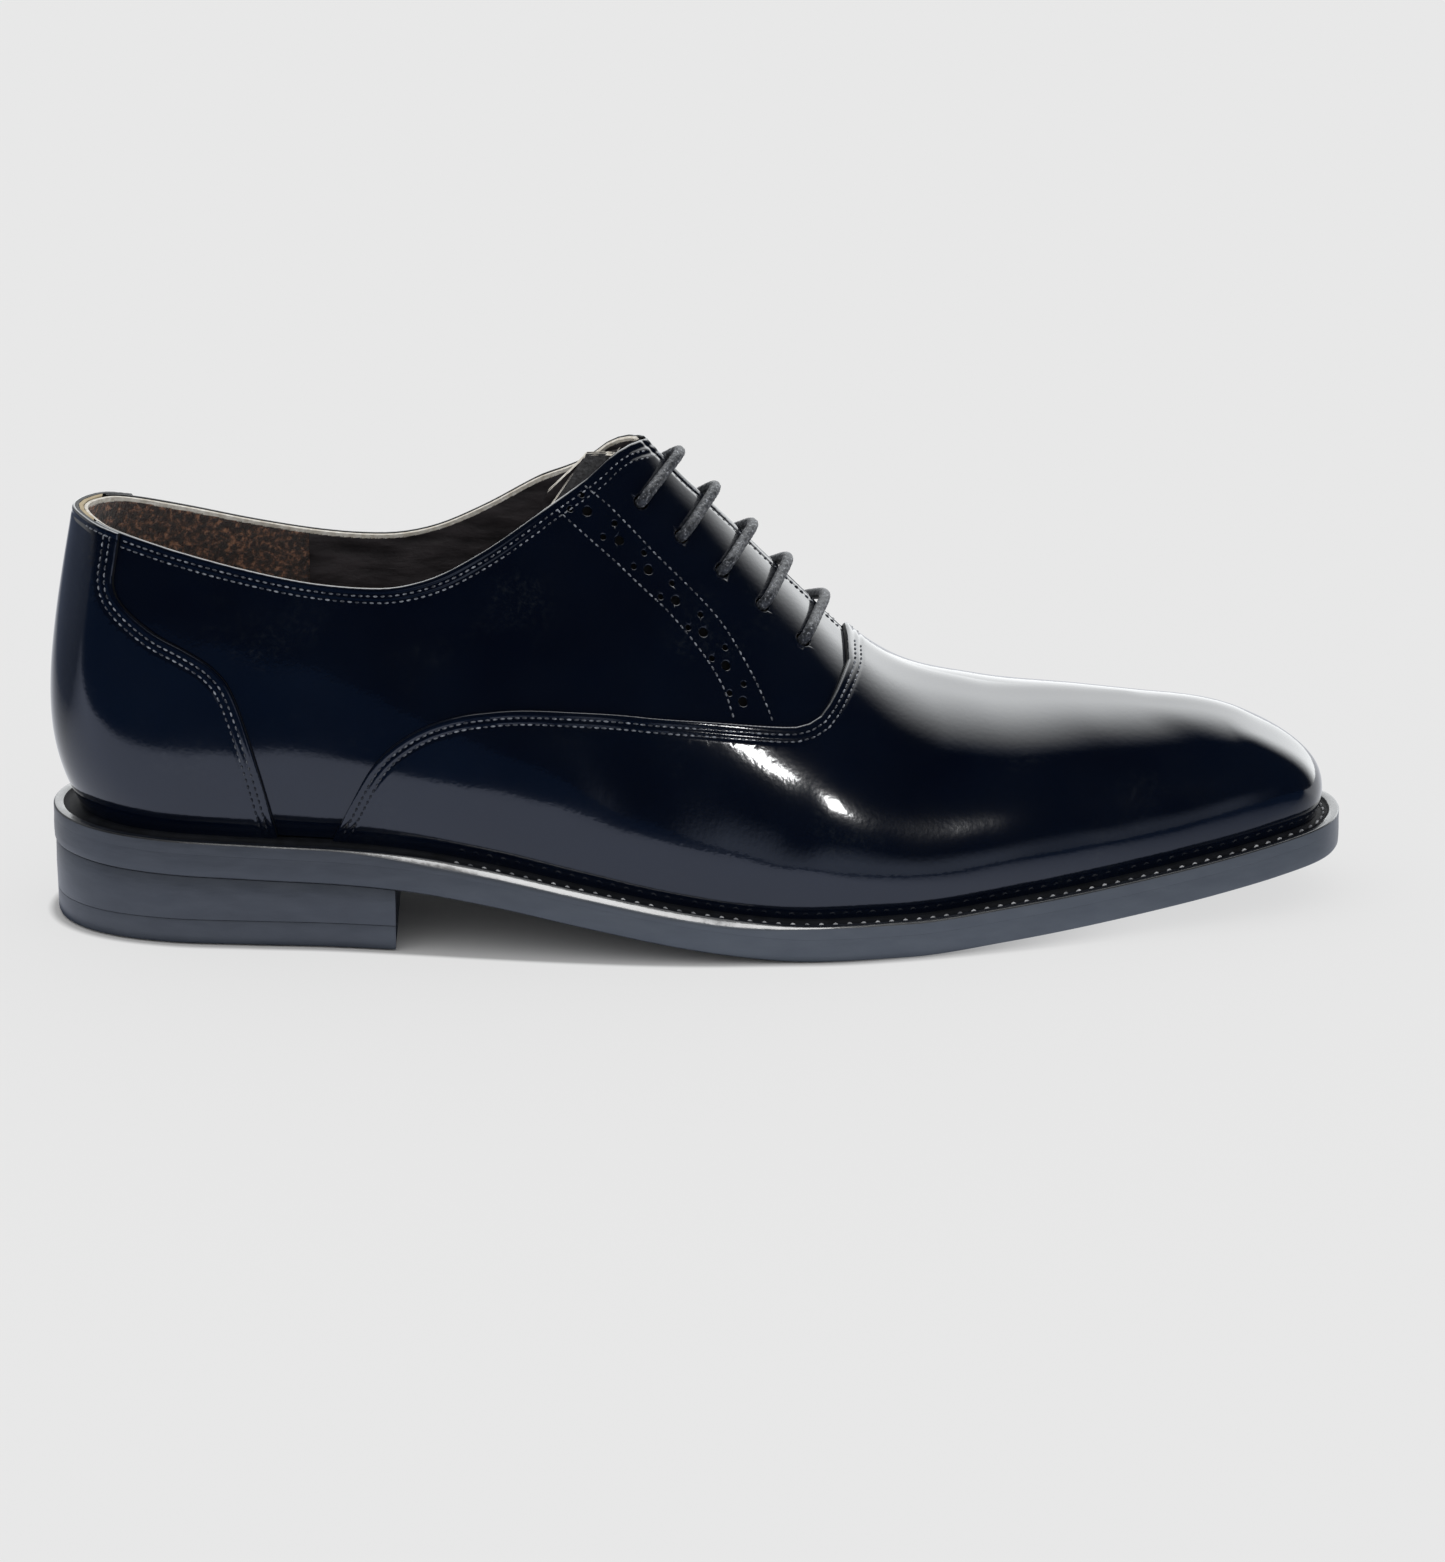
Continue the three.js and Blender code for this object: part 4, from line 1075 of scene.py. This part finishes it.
def make_linings():
    def seam(points):
        return points[:, 0] - HEEL_GRIP_SEAM_X

    def nap(points):
        return relief(points, 1.6 * MM, 0.16 * MM) - seam_fold(points)

    def seam_fold(points):
        return 0.35 * MM * np.exp(-((seam(points) / (1.2 * MM)) ** 2))

    def creases(points):
        stretched = points * (0.45, 1, 1)
        return relief(stretched, 7 * MM, 0.3 * MM) + relief(stretched, 2.6 * MM, 0.12 * MM, 5.0)

    make_lining("heel_grip_suede", None, [seam], SUEDE, "suede", "heel_grip", nap)
    for side in (LATERAL, MEDIAL):
        name = SIDE_NAMES[side]
        centres = points_below(eyelet_line(), side, LINING[0])

        def in_hole(points, centres=centres):
            return -from_holes(points, centres, LACE_HOLE_RADIUS + MM)

        fields = [opposite(seam), lining_seam_line, slot_between_facings(side), in_hole]
        node = "quarter_lining_" + name
        make_lining(node + "_leather", side, fields, LINING_LEATHER, "lining_leather", node, creases)
    ahead = [opposite(lining_seam_line)]
    cloth = "vamp_lining_cloth"
    make_lining(cloth, None, ahead, LINING_LEATHER, cloth, "vamp_lining", creases)


def make_tongue():
    def off_plan(points):
        x, y, z = points.T
        middle = ridge(x)
        back = TONGUE_X[0] + TONGUE_SLANT * np.interp(z, TONGUE_TIP, (0, 1))
        return np.max([back - x, x - TONGUE_X[1], abs(y - middle) - TONGUE_HALF_WIDTH], axis=0)

    def rise(points):
        share = smoothstep(points[:, 0], *TONGUE_RISE)
        return -share * (TONGUE[0] - TONGUE_ROOT_DEPTH)

    def off_height(points):
        return abs(points[:, 2] - np.mean(TONGUE_Z)) - np.ptp(TONGUE_Z) / 2

    for name, layers, material, slot, node in (
        ("tongue_outer", TONGUE, TONGUE_LEATHER, "tongue_leather", "tongue"),
        ("tongue_inner", TONGUE_LINING, LINING_LEATHER, "tongue_lining_leather", "tongue_lining"),
    ):
        patch = Patch([LATERAL, MEDIAL])
        patch.drop(off_plan, layers[0])
        patch.drop(off_height, layers[0])
        made = shell(name, patch, layers, [material, material, RAW], rise, rise)
        finish_piece(made, slot, node, body="tongue")


# ---- Stitches -----------------------------------------------------------------------------


def stitches(name, rows, pitch, length, radius, material, slot):
    """Rows of stitches as one mesh. Each row is points and normals along its way."""
    grain = 5
    ring = 6
    share = np.linspace(-1, 1, grain)
    girth = np.sqrt(np.maximum(1 - share**2 * 0.94, 0))
    angle = np.linspace(0, 2 * math.pi, ring, endpoint=False)
    points, faces = [], []
    for place, normal in rows:
        along = lengths_along(place)
        centres = np.arange(pitch / 2, along[-1], pitch)
        for centre in centres:
            at = centre + share * length / 2
            spine = np.column_stack([np.interp(at, along, column) for column in place.T])
            up = unit(np.array([np.interp(centre, along, column) for column in normal.T]))
            ahead = unit(spine[-1] - spine[0])
            across = np.cross(ahead, up)
            lift = radius * (0.55 - 1.1 * share**2)
            first = len(points)
            for i in range(grain):
                middle = spine[i] + up * lift[i]
                circle = np.outer(np.cos(angle), across) + np.outer(np.sin(angle), up)
                points.extend(middle + circle * radius * girth[i])
            for i in range(grain - 1):
                for j in range(ring):
                    a, b = first + i * ring + j, first + i * ring + (j + 1) % ring
                    faces.append((a, b, b + ring, a + ring))
            faces.append(tuple(first + j for j in reversed(range(ring))))
            faces.append(tuple(first + (grain - 1) * ring + j for j in range(ring)))
    finish_piece(mesh_object(name, points, faces, [material]), slot)


def row_on_upper(flat, side, depth, keep=()):
    """A stitch row laid on a layer, kept where every field in `keep` is negative."""
    wanted = spaced(flat, 160)
    place, normal = on_surface(wanted, side)
    found = np.linalg.norm(place[:, [0, 2]] - wanted, axis=1) < 0.2 * MM
    place = place - normal * depth
    good = np.all([found, *(field(place) < 0 for field in keep)], axis=0)
    return place[good], normal[good]


def above_welt(points):
    return below_seat(points) + 2 * MM


def wing_rows(side):
    beyond_ridge = slot_between_facings(side, 0.0)
    for row in SEAM_ROWS:
        yield row_on_upper(wing_line.beside(row), side, STITCH_SINK, [above_welt, beyond_ridge])


def counter_rows(side):
    def near_top(points):
        return topline_line(points) + MM

    def ahead(points):
        return counter_line(points) + 0.5 * MM

    def far_back(points):
        return -points[:, 0] - 30 * MM

    for row in SEAM_ROWS:
        yield row_on_upper(counter_line.beside(-row), side, STITCH_SINK, [above_welt, near_top])
    line = topline_line.beside(-TOPLINE_ROWS[0])
    yield row_on_upper(line, side, STITCH_SINK, [ahead, far_back])


def topline_rows(side):
    beside_slot = slot_between_facings(side, 4 * MM)

    def off_quarter(points):
        return np.maximum(-counter_line(points) + 0.5 * MM, beside_slot(points))

    for row in TOPLINE_ROWS:
        line = topline_line.beside(-row)[:-1]
        yield row_on_upper(line, side, MIDDLE[0] + STITCH_SINK, [off_quarter])


def brogue_rows(side):
    for flat in (BROGUE_REAR_ROW, BROGUE_FRONT_ROW):
        yield row_on_upper(spline(flat), side, MIDDLE[0] + 0.02 * MM)


def facing_rows(side):
    """The row of stitches along the facing's front edge, found on one rib after another."""
    v = np.linspace(0.2, 1, 200)
    place, normal = [], []
    for rib in np.linspace(*FACING_ROW_RIBS, 80):
        points = last_point(np.full(len(v), rib), v, np.full(len(v), side))
        from_slot = side * (points[:, 1] - ridge(points[:, 0])) - FACING_GAP
        share = np.interp(-FACING_ROW, -from_slot, v)
        one = np.array([rib]), np.array([share]), np.array([side])
        place.append(last_point(*one)[0])
        normal.append(last_normal(*one)[0])
    place, normal = np.array(place), np.array(normal)
    keep = (topline_line(place) < -2 * MM) & (wing_line(place) < -MM)
    yield place[keep] - normal[keep] * (MIDDLE[0] + STITCH_SINK), normal[keep]


def make_seam_stitches():
    for name, rows_of in (
        ("wing", wing_rows), ("counter", counter_rows), ("topline", topline_rows),
        ("brogue", brogue_rows), ("facing", facing_rows),
    ):
        rows = [row for side in (LATERAL, MEDIAL) for row in rows_of(side)]
        sizes = STITCH_PITCH, STITCH_LENGTH, STITCH_RADIUS
        stitches(name + "_stitches", rows, *sizes, SEAM_THREAD, "upper_leather")


# ---- Lace ---------------------------------------------------------------------------------

LACE_OVER = LACE_RADIUS + 0.5 * MM - MIDDLE[0]
LACE_UNDER = -6.75 * MM
PASS_BY = 3.4 * MM
TUCK = np.array([[90, 99], [82, 92], [75, 83], [69, 74]]) * MM
# Stops of the lace: side, eyelet row, and which way it leans under the facings on its way there.
LACE_ROUTE = [
    (MEDIAL, 0, 0), (LATERAL, 0, 0), (LATERAL, 2, 1), (MEDIAL, 2, 0), (MEDIAL, 4, 1),
    (LATERAL, 4, 0), (LATERAL, 3, 0), (MEDIAL, 3, 0), (MEDIAL, 1, -1), (LATERAL, 1, 0),
]
DOWNWARD = (LACE_OVER - 0.9 * MM, -2 * MM, -3.6 * MM, -5.4 * MM)  # heights of its way in through a hole
LACE_STEP = 0.32 * MM
LACE_TURN = 5.2 * MM
LACE_STRANDS = 5


EYELETS = {side: on_surface(eyelet_line(), side) for side in (LATERAL, MEDIAL)}


def by_eyelet(side, row, height, shift=0.0):
    """A point so far above the leather at an eyelet, and shifted so far away from the ridge."""
    point, normal = EYELETS[side][0][row], EYELETS[side][1][row]
    away = np.array([0, side, 0])
    away = unit(away - normal * (away @ normal))
    return point + normal * height + away * shift


def over_ridge(start, end):
    """A bar of the lace, from one eyelet over the ridge to the one across."""
    middle = (by_eyelet(*start, 0) + by_eyelet(*end, 0)) / 2
    ribs = np.linspace(*CLOSED_RIBS, 241)
    heads = ribs, np.ones(len(ribs)), np.full(len(ribs), LATERAL)
    ridge_points = last_point(*heads)
    nearest = np.linalg.norm(ridge_points - middle, axis=1).argmin()
    crest = ridge_points[nearest]
    top = crest + last_normal(*heads)[nearest] * (LACE_OVER + 0.5 * MM)

    def bend(eyelet):
        return by_eyelet(*eyelet, LACE_OVER, -1.6 * MM)

    def flank(side, row):
        half = (EYELETS[side][0][row] + crest) / 2
        return half + EYELETS[side][1][row] * (LACE_OVER + MM)

    return [bend(start), flank(*start), top, flank(*end), bend(end)]


def under_facing(start, end, lean):
    a, b = by_eyelet(*start, LACE_UNDER, lean), by_eyelet(*end, LACE_UNDER, lean)
    first = by_eyelet(*start, LACE_UNDER) * 0.9 + b * 0.1
    last = by_eyelet(*end, LACE_UNDER) * 0.9 + a * 0.1
    return [first, a * 0.7 + b * 0.3, a * 0.3 + b * 0.7, last]


def tucked_end(side):
    place, normal = on_surface(TUCK, side)
    return list(place + normal * LACE_UNDER)


def lace_points():
    """The lace's centre line, from its medial end to its lateral end."""
    points = tucked_end(MEDIAL)[::-1]
    for i, (side, row, lean) in enumerate(LACE_ROUTE):
        upward = i % 2 == 0
        before = LACE_ROUTE[i - 1][:2]
        if i > 0 and upward:
            points += under_facing(before, (side, row), lean * PASS_BY)
        if i > 0 and not upward:
            points += over_ridge(before, (side, row))
        heights = reversed(DOWNWARD) if upward else DOWNWARD
        points += [by_eyelet(side, row, height) for height in heights]
    points.append(by_eyelet(*LACE_ROUTE[-1][:2], LACE_UNDER, -1.2 * MM))
    points.append(by_eyelet(LATERAL, 0, LACE_UNDER, -PASS_BY))
    return np.array(points + tucked_end(LATERAL))


def carried_along(ahead):
    """Directions across a line that don't twist round it as it goes."""
    across = np.empty_like(ahead)
    previous = np.cross(ahead[0], (0, 0, 1))
    for i, direction in enumerate(ahead):
        previous = unit(previous - direction * (previous @ direction))
        across[i] = previous
    return across


def make_lace():
    """A round braided lace: strands that wind both ways lift and sink the surface."""
    centres = centripetal(lace_points())
    centres = spaced(centres, int(lengths_along(centres)[-1] / LACE_STEP))
    ahead = unit(np.gradient(centres, axis=0))
    across = carried_along(ahead)
    beside = np.cross(ahead, across)
    ring = 20
    angle = np.linspace(0, 2 * math.pi, ring, endpoint=False)
    turn = 2 * math.pi * lengths_along(centres)[:, None] / LACE_TURN
    one_way = np.sin(LACE_STRANDS * angle + turn * 2)
    other_way = np.sin(LACE_STRANDS * angle - turn * 2)
    girth = LACE_RADIUS * (0.97 + 0.075 * np.maximum(one_way, other_way))
    offset = np.cos(angle)[None, :, None] * across[:, None] + np.sin(angle)[None, :, None] * beside[:, None]
    points = (centres[:, None] + girth[..., None] * offset).reshape(-1, 3)
    faces = band_faces(ring, len(centres) - 1, len(centres))
    faces += [list(range(ring))[::-1], list(range(len(points) - ring, len(points)))]
    finish_piece(mesh_object("braided_lace", points, faces, [LACE]), "lace_cord", "lace")


def centripetal(points, steps=14):
    """A smooth curve through points that doesn't overshoot where they are close together."""
    padded = np.vstack([2 * points[0] - points[1], points, 2 * points[-1] - points[-2]])
    knots = np.concatenate([[0], np.cumsum(np.linalg.norm(np.diff(padded, axis=0), axis=1) ** 0.5)])
    pieces = []
    for i in range(1, len(padded) - 2):
        t0, t1, t2, t3 = knots[i - 1:i + 3]
        p0, p1, p2, p3 = padded[i - 1:i + 3]
        t = np.linspace(t1, t2, steps, endpoint=False)[:, None]
        a1 = (t1 - t) / (t1 - t0) * p0 + (t - t0) / (t1 - t0) * p1
        a2 = (t2 - t) / (t2 - t1) * p1 + (t - t1) / (t2 - t1) * p2
        a3 = (t3 - t) / (t3 - t2) * p2 + (t - t2) / (t3 - t2) * p3
        b1 = (t2 - t) / (t2 - t0) * a1 + (t - t0) / (t2 - t0) * a2
        b2 = (t3 - t) / (t3 - t1) * a2 + (t - t1) / (t3 - t1) * a3
        pieces.append((t2 - t) / (t2 - t1) * b1 + (t - t1) / (t2 - t1) * b2)
    return np.vstack([*pieces, points[-1:]])


# ---- Sole and heel ------------------------------------------------------------------------

OUTLINE_COUNT = 420  # points along each side of the shoe's plan


def outline_ribs():
    fine = np.linspace(0, LAST_RIB, 4000)
    feet, _ = foot(fine, np.full(len(fine), LATERAL))
    along = lengths_along(feet)
    return np.interp(np.linspace(0, along[-1], OUTLINE_COUNT), along, fine)


PLAN_RIBS = outline_ribs()


def plan_loop(offset, toe_offset=None):
    """The feather line moved outward: lateral side from heel to toe, then back along the medial."""
    toe_offset = offset if toe_offset is None else toe_offset
    share = np.maximum(0, (PLAN_RIBS - TOE_LEDGE_RIB) / (LAST_RIB - TOE_LEDGE_RIB))
    reach = (offset + (toe_offset - offset) * share)[:, None]
    sides = []
    for side in (LATERAL, MEDIAL):
        point, out = foot(PLAN_RIBS, np.full(len(PLAN_RIBS), side))
        sides.append(point + out * reach)
    return np.vstack([sides[0][:-1], sides[1][:0:-1]])


def both_sides(values):
    """Values of one side's ribs, in the order of plan_loop's points."""
    return np.concatenate([values[:-1], values[:0:-1]])


def band_faces(count, bands, total):
    """Faces between loops of `count` points that follow each other, of `total` loops in all."""
    faces = []
    for i in range(bands):
        a = i * count + np.arange(count)
        b = ((i + 1) % total) * count + np.arange(count)
        faces += np.stack([a, np.roll(a, -1), np.roll(b, -1), b], -1).tolist()
    return faces


def ring_solid(name, rings, materials, slots=None, closed=True):
    """Closed loops one after another, each an array of points, joined by faces; the last loop joins the
    first if closed, and otherwise both ends are filled across."""
    count = len(rings[0])
    total = len(rings)
    points = np.vstack(rings)
    bands = total if closed else total - 1
    faces = band_faces(count, bands, total)
    face_slots = np.repeat(slots[:bands] if slots else [0] * bands, count).tolist()
    if not closed:
        for first, flip in ((0, True), ((total - 1) * count, False)):
            caps = cap_faces(count, first)
            faces += [face[::-1] if flip else face for face in caps]
            face_slots += [slots[-1] if slots else 0] * len(caps)
    made = mesh_object(name, points, faces, materials, face_slots)
    made.data.set_sharp_from_angle(angle=math.radians(42))
    return made


def cap_faces(count, first):
    """Faces straight across a loop that runs up one side and back along the other."""
    half = count // 2
    faces = [[first, first + 1, first + count - 1]]
    for i in range(1, half - 1):
        faces.append([first + i, first + i + 1, first + count - i - 1, first + count - i])
    faces.append([first + half - 1, first + half, first + count - half + 1])
    return [face for face in faces if len(set(face)) == len(face)]


def level_ring(loop, heights):
    return np.column_stack([loop, heights])


def make_welt():
    """The ledge that the upper stands on. A shallow channel holds the stitches; the outer corner is
    crisp, and widens at the waist to a smooth waxed slope."""
    channel = 0.7 * MM
    waist = smoothstep(PLAN_RIBS, 5, 6.5) * (1 - smoothstep(PLAN_RIBS, 9.8, 11.2))
    corner = (0.3 + 1.1 * waist) * MM
    profile = [  # in from the sole's edge, down from the top
        (WELT_LEDGE + WELT_INSET, 0.0), (WELT_LEDGE, 0.0), (5.2 * MM, 0.3 * MM), (4.6 * MM, channel),
        (3.0 * MM, channel), (2.6 * MM, 0.35 * MM), (2.3 * MM, 0.05 * MM), (1.2 * corner, 0.0),
        (corner, 0.08 * corner), (0.6 * corner, 0.48 * corner), (0.2 * corner, 0.96 * corner),
        (0.05 * corner, 1.2 * corner), (0.0, 1.5 * corner), (0.0, WELT_THICKNESS),
        (WELT_LEDGE + WELT_INSET, WELT_THICKNESS),
    ]
    rings = []
    for inward, down in profile:
        loop = plan_loop(WELT_LEDGE - inward, TOE_LEDGE - inward)
        rings.append(level_ring(loop, seat(loop[:, 0]) - both_sides(np.broadcast_to(down, PLAN_RIBS.shape))))
    bead_from, edge_from = 6, 10  # where along the profile the material changes
    slots = [(i >= bead_from) + (i >= edge_from) for i in range(len(rings))]
    made = ring_solid("welt_strip", rings[::-1], [WELT, WELT_BEAD, SOLE], slots[-2::-1] + slots[-1:])
    finish_piece(made, "welt_leather", "welt")
    row = plan_loop(WELT_LEDGE - WELT_STITCH_ROW, TOE_LEDGE - WELT_STITCH_ROW)
    place = level_ring(row, seat(row[:, 0]) - channel + 0.05 * MM)
    normal = np.tile((0.0, 0.0, 1.0), (len(place), 1))
    ahead = place[:, 0] > WELT_STITCH_START
    sizes = WELT_STITCH_PITCH, WELT_STITCH_LENGTH, WELT_STITCH_RADIUS
    stitches("welt_stitches", [(place[ahead], normal[ahead])], *sizes, WELT_THREAD, "welt_leather")


def make_outsole():
    rings = []
    profile = [  # share of the way down, in from the edge
        (0.0, 3 * MM), (0.0, 0.0), (0.3, -0.08 * MM), (0.62, -0.08 * MM), (0.9, 0.0),
        (0.97, 0.25 * MM), (1.0, 0.7 * MM), (1.0, 6 * MM),
    ]
    for share, inward in profile:
        loop = plan_loop(WELT_LEDGE - inward, TOE_LEDGE - inward)
        top = seat(loop[:, 0]) - WELT_THICKNESS - 0.02 * MM
        bottom = tread(loop[:, 0])
        rings.append(level_ring(loop, top + (bottom - top) * share))
    made = ring_solid("outsole_rubber", rings[::-1], [SOLE], closed=False)
    finish_piece(made, "sole_rubber", "outsole")


def heel_loop(inward):
    """The heel's plan: the shoe's outline as far as the breast, closed straight across it."""
    loop = plan_loop(WELT_LEDGE - HEEL_INSET - inward)
    return clip_at_breast(loop, HEEL_BREAST_X - inward * 0.5)


def clip_at_breast(loop, breast):
    """Points ahead of the breast move back onto it, along the straight line across."""
    half = len(loop) // 2
    lateral, medial = loop[:half + 1], loop[:half:-1]
    sides = []
    for side in (lateral, medial):
        inside = side[side[:, 0] < breast]
        corner = np.array([breast, np.interp(breast, side[:, 0], side[:, 1])])
        sides.append(spaced(np.vstack([inside, corner]), 130))
    breast_line = spaced(np.vstack([sides[0][-1], sides[1][-1]]), 22)[1:-1]
    return np.vstack([sides[0], breast_line, sides[1][::-1]])


def fan_rings(name, rings, material):
    """Closed loops joined by faces, with both ends filled towards their middles."""
    ends = [np.mean(ring, axis=0) for ring in (rings[0], rings[-1])]
    count = len(rings[0])
    faces = band_faces(count, len(rings) - 1, len(rings))
    last = (len(rings) - 1) * count
    total = len(rings) * count
    ring = np.arange(count)
    faces += np.column_stack([np.roll(ring, -1), ring, np.full(count, total)]).tolist()
    faces += np.column_stack([ring + last, np.roll(ring, -1) + last, np.full(count, total + 1)]).tolist()
    made = mesh_object(name, np.vstack([*rings, ends]), faces, [material])
    made.data.set_sharp_from_angle(angle=math.radians(42))
    return made


def make_heel():
    """The stack of lifts, and the top lift that it stands on, with a fine groove where pieces meet."""
    groove = 0.07 * MM
    gap = 0.05 * MM
    stack_low = TOP_LIFT + gap
    stack = [(0.0, groove), (0.015, 0.0), (0.5, -0.1 * MM), (0.97, 0.0), (1.0, 2 * groove)]
    rings = []
    for share, inward in stack:
        loop = heel_loop(inward)
        top = tread(loop[:, 0]) - gap
        rings.append(level_ring(loop, stack_low + (top - stack_low) * share))
    made = fan_rings("heel_lifts", rings, SOLE)
    finish_piece(made, "sole_rubber", "heel_stack")
    top_lift = [
        (0.0, 0.9 * MM), (0.25 * MM, 0.3 * MM), (0.8 * MM, 0.05 * MM), (TOP_LIFT - 0.3 * MM, 0.0),
        (TOP_LIFT - gap, groove),
    ]
    rings = []
    for height, inward in top_lift:
        loop = heel_loop(inward)
        rings.append(level_ring(loop, np.full(len(loop), height)))
    made = fan_rings("heel_top_lift_rubber", rings, SOLE)
    finish_piece(made, "top_lift_rubber", "heel_top_lift")


# ---- Stage, lights and camera ---------------------------------------------------------------


def floor_mesh(material):
    """A wide sheet round the shoe's outline, with a value `glow`: 0 under the shoe, 1 beyond it and under
    the front of the toe, where the glow is painted light over the shade.
    """
    reaches = (-5 * MM, 0.5 * MM, 2.5 * MM)
    loops = [plan_loop(WELT_LEDGE + reach) for reach in reaches]
    middle = loops[0].mean(axis=0)
    loops.append(middle + (loops[0] - middle) * FLOOR_SPREAD)
    count = len(loops[0])
    bands = [face[::-1] for face in band_faces(count, len(loops) - 1, len(loops))]
    points = level_ring(np.vstack(loops), np.full(count * len(loops), -0.2 * MM))
    floor = mesh_object("floor", points, cap_faces(count, 0) + bands, [material], smooth=False)
    outside = np.repeat([0.0, 0.0, 1.0, 1.0], count)
    # Painted light: ahead of x = 0.13 m the floor also glows under the toe, which lifts the shade there.
    painted_light_under_toe = smoothstep(points[:, 0], 0.13, 0.22)
    glow = floor.data.attributes.new("glow", "FLOAT", "POINT")
    glow.data.foreach_set("value", np.maximum(outside, painted_light_under_toe))
    return floor


def floor_look():
    """Beyond the shoe's outline the floor glows a little, which keeps the shadow close to the shoe.
    Mirrored in the leather it is bluish on the camera's side and fades out in front of the toe."""
    look = Look("studio_floor", roughness=1.0)
    look.shader.inputs["Specular IOR Level"].default_value = 0.0
    mirrored = look.add("ShaderNodeLightPath").outputs["Is Glossy Ray"]
    glow = look.add("ShaderNodeAttribute", attribute_name="glow").outputs["Fac"]
    # Painted shade: under the shoe the floor is a darker 0.6, against 0.807 for the backdrop, and does not
    # glow.
    pale = look.between(glow, [(0.6, 0.6, 0.6), (0.157, 0.157, 0.157)], 0.0, 1.0)
    look.colour(look.mixed(mirrored, pale, (0.015, 0.03, 0.07)))
    look.link(look.times(glow, FLOOR_GLOW), look.shader.inputs["Emission Strength"])
    x, y, _ = look.axes(look.place)
    slanted = look.maths("ADD", look.times(look.maths("MAXIMUM", x, 0.0), 2.0), y)
    slanted = look.maths("ADD", look.times(x, 0.3), slanted)
    within = look.clamped(look.times(look.maths("ADD", slanted, NEAR_FLOOR), 45.0))
    in_front = look.between(x, [(0.72, 0.78, 0.96), (0.0, 0.0, 0.0)], 0.2, 0.42)
    in_front = look.mixed(within, (0.0, 0.0, 0.0), in_front)
    past_heel = look.maths("ADD", x, 0.25)
    behind = look.between(past_heel, [(0.1, 0.1, 0.1), (1.0, 1.0, 1.0)], 0.0, 0.2)
    across = look.clamped(look.times(look.maths("ADD", y, 0.05), 10.0))
    reflection = look.mixed(across, in_front, behind)
    seen = look.mixed(mirrored, (1.0, 1.0, 1.0), reflection)
    look.link(seen, look.shader.inputs["Emission Color"])
    return look.material


def make_floor():
    floor_mesh(floor_look())


def area_light(name, place, target, size, power):
    data = bpy.data.lights.new(name, "AREA")
    data.shape = "RECTANGLE"
    data.size, data.size_y = size
    data.energy = power
    light = bpy.data.objects.new(name, data)
    light.location = place
    light.rotation_mode = "QUATERNION"
    light.rotation_quaternion = (Vector(target) - Vector(place)).to_track_quat("-Z", "Y")
    bpy.context.scene.collection.objects.link(light)
    return light


def make_lights():
    """Two lights that only show as reflections: a window in the vamp, and a strip along the welt."""
    window = area_light(
        "window", place=(0.585, -0.93, 0.6), target=(0.136, -0.038, 0.039), size=(0.1, 0.08), power=0.7
    )
    strip = area_light(
        "strip", place=(0.1, -0.45, 0.95), target=(0.09, -0.05, 0.02), size=(0.4, 0.5), power=8
    )
    for light, receiver in ((window, "vamp_leather"), (strip, "welt_strip")):
        light.visible_diffuse = False
        mirror = bpy.data.collections.new(receiver + "_mirrors")
        mirror.objects.link(bpy.data.objects[receiver])
        light.light_linking.receiver_collection = mirror


def make_world():
    """A studio of soft light. Lit surfaces and the camera see even light all round; mirrored in the
    leather it is bright overhead and behind, dark on the camera's side, and pale low down in front."""
    world = bpy.data.worlds.new("studio")
    world.use_nodes = True
    nodes = Nodes(world.node_tree)
    ramp, times = nodes.ramp, nodes.times
    x, y, z = nodes.axes(nodes.add("ShaderNodeTexCoord").outputs["Generated"])
    ahead = times(nodes.maths("MAXIMUM", nodes.maths("SUBTRACT", x, 0.4), 0.0), 0.9)
    overhead = ramp(nodes.maths("SUBTRACT", y, ahead), -0.2, 0.55, 0.0, OVERHEAD)
    overhead = times(overhead, ramp(y, 0.6, 0.95, 1.0, 0.5), ramp(x, -0.5, -0.1, 0.12, 1.0))
    over_edge = nodes.maths("SUBTRACT", z, ramp(x, -0.5, 0.3, -0.4, 0.2))
    low_front = ramp(over_edge, -0.12, 0.06, LOW_FRONT, 0.0)
    low_front = times(low_front, ramp(y, -0.1, 0.1, 1.0, 0.0), ramp(x, 0.45, 0.85, 1.0, 0.0))
    mirrored = nodes.maths("MAXIMUM", nodes.maths("ADD", overhead, low_front), 0.006)
    rays = nodes.add("ShaderNodeLightPath").outputs
    strength = nodes.blended(rays["Is Glossy Ray"], 1.0, mirrored)
    seen = nodes.blended(rays["Is Camera Ray"], strength, BACKGROUND)
    tint = nodes.mixed(ramp(y, -0.25, 0.05), (0.66, 0.76, 1.0), (0.98, 1.0, 1.01))
    background = nodes.tree.nodes["Background"]
    nodes.link(seen, background.inputs["Strength"])
    nodes.link(nodes.mixed(rays["Is Glossy Ray"], (1.0, 1.0, 1.0), tint), background.inputs["Color"])
    bpy.context.scene.world = world


def make_camera():
    data = bpy.data.cameras.new("camera")
    data.lens = LENS
    camera = bpy.data.objects.new("camera", data)
    camera.location = CAMERA_AT
    camera.rotation_mode = "QUATERNION"
    camera.rotation_quaternion = Vector(CAMERA_DIRECTION).to_track_quat("-Z", "Y")
    bpy.context.scene.collection.objects.link(camera)
    bpy.context.scene.camera = camera
    bpy.context.scene.view_settings.view_transform = "Standard"


make_camera()
make_vamp()
make_counter()
make_quarter(LATERAL)
make_quarter(MEDIAL)
make_linings()
make_tongue()
make_seam_stitches()
make_lace()
make_welt()
make_outsole()
make_heel()
paint_hidden_nodes()
make_floor()
make_lights()
make_world()
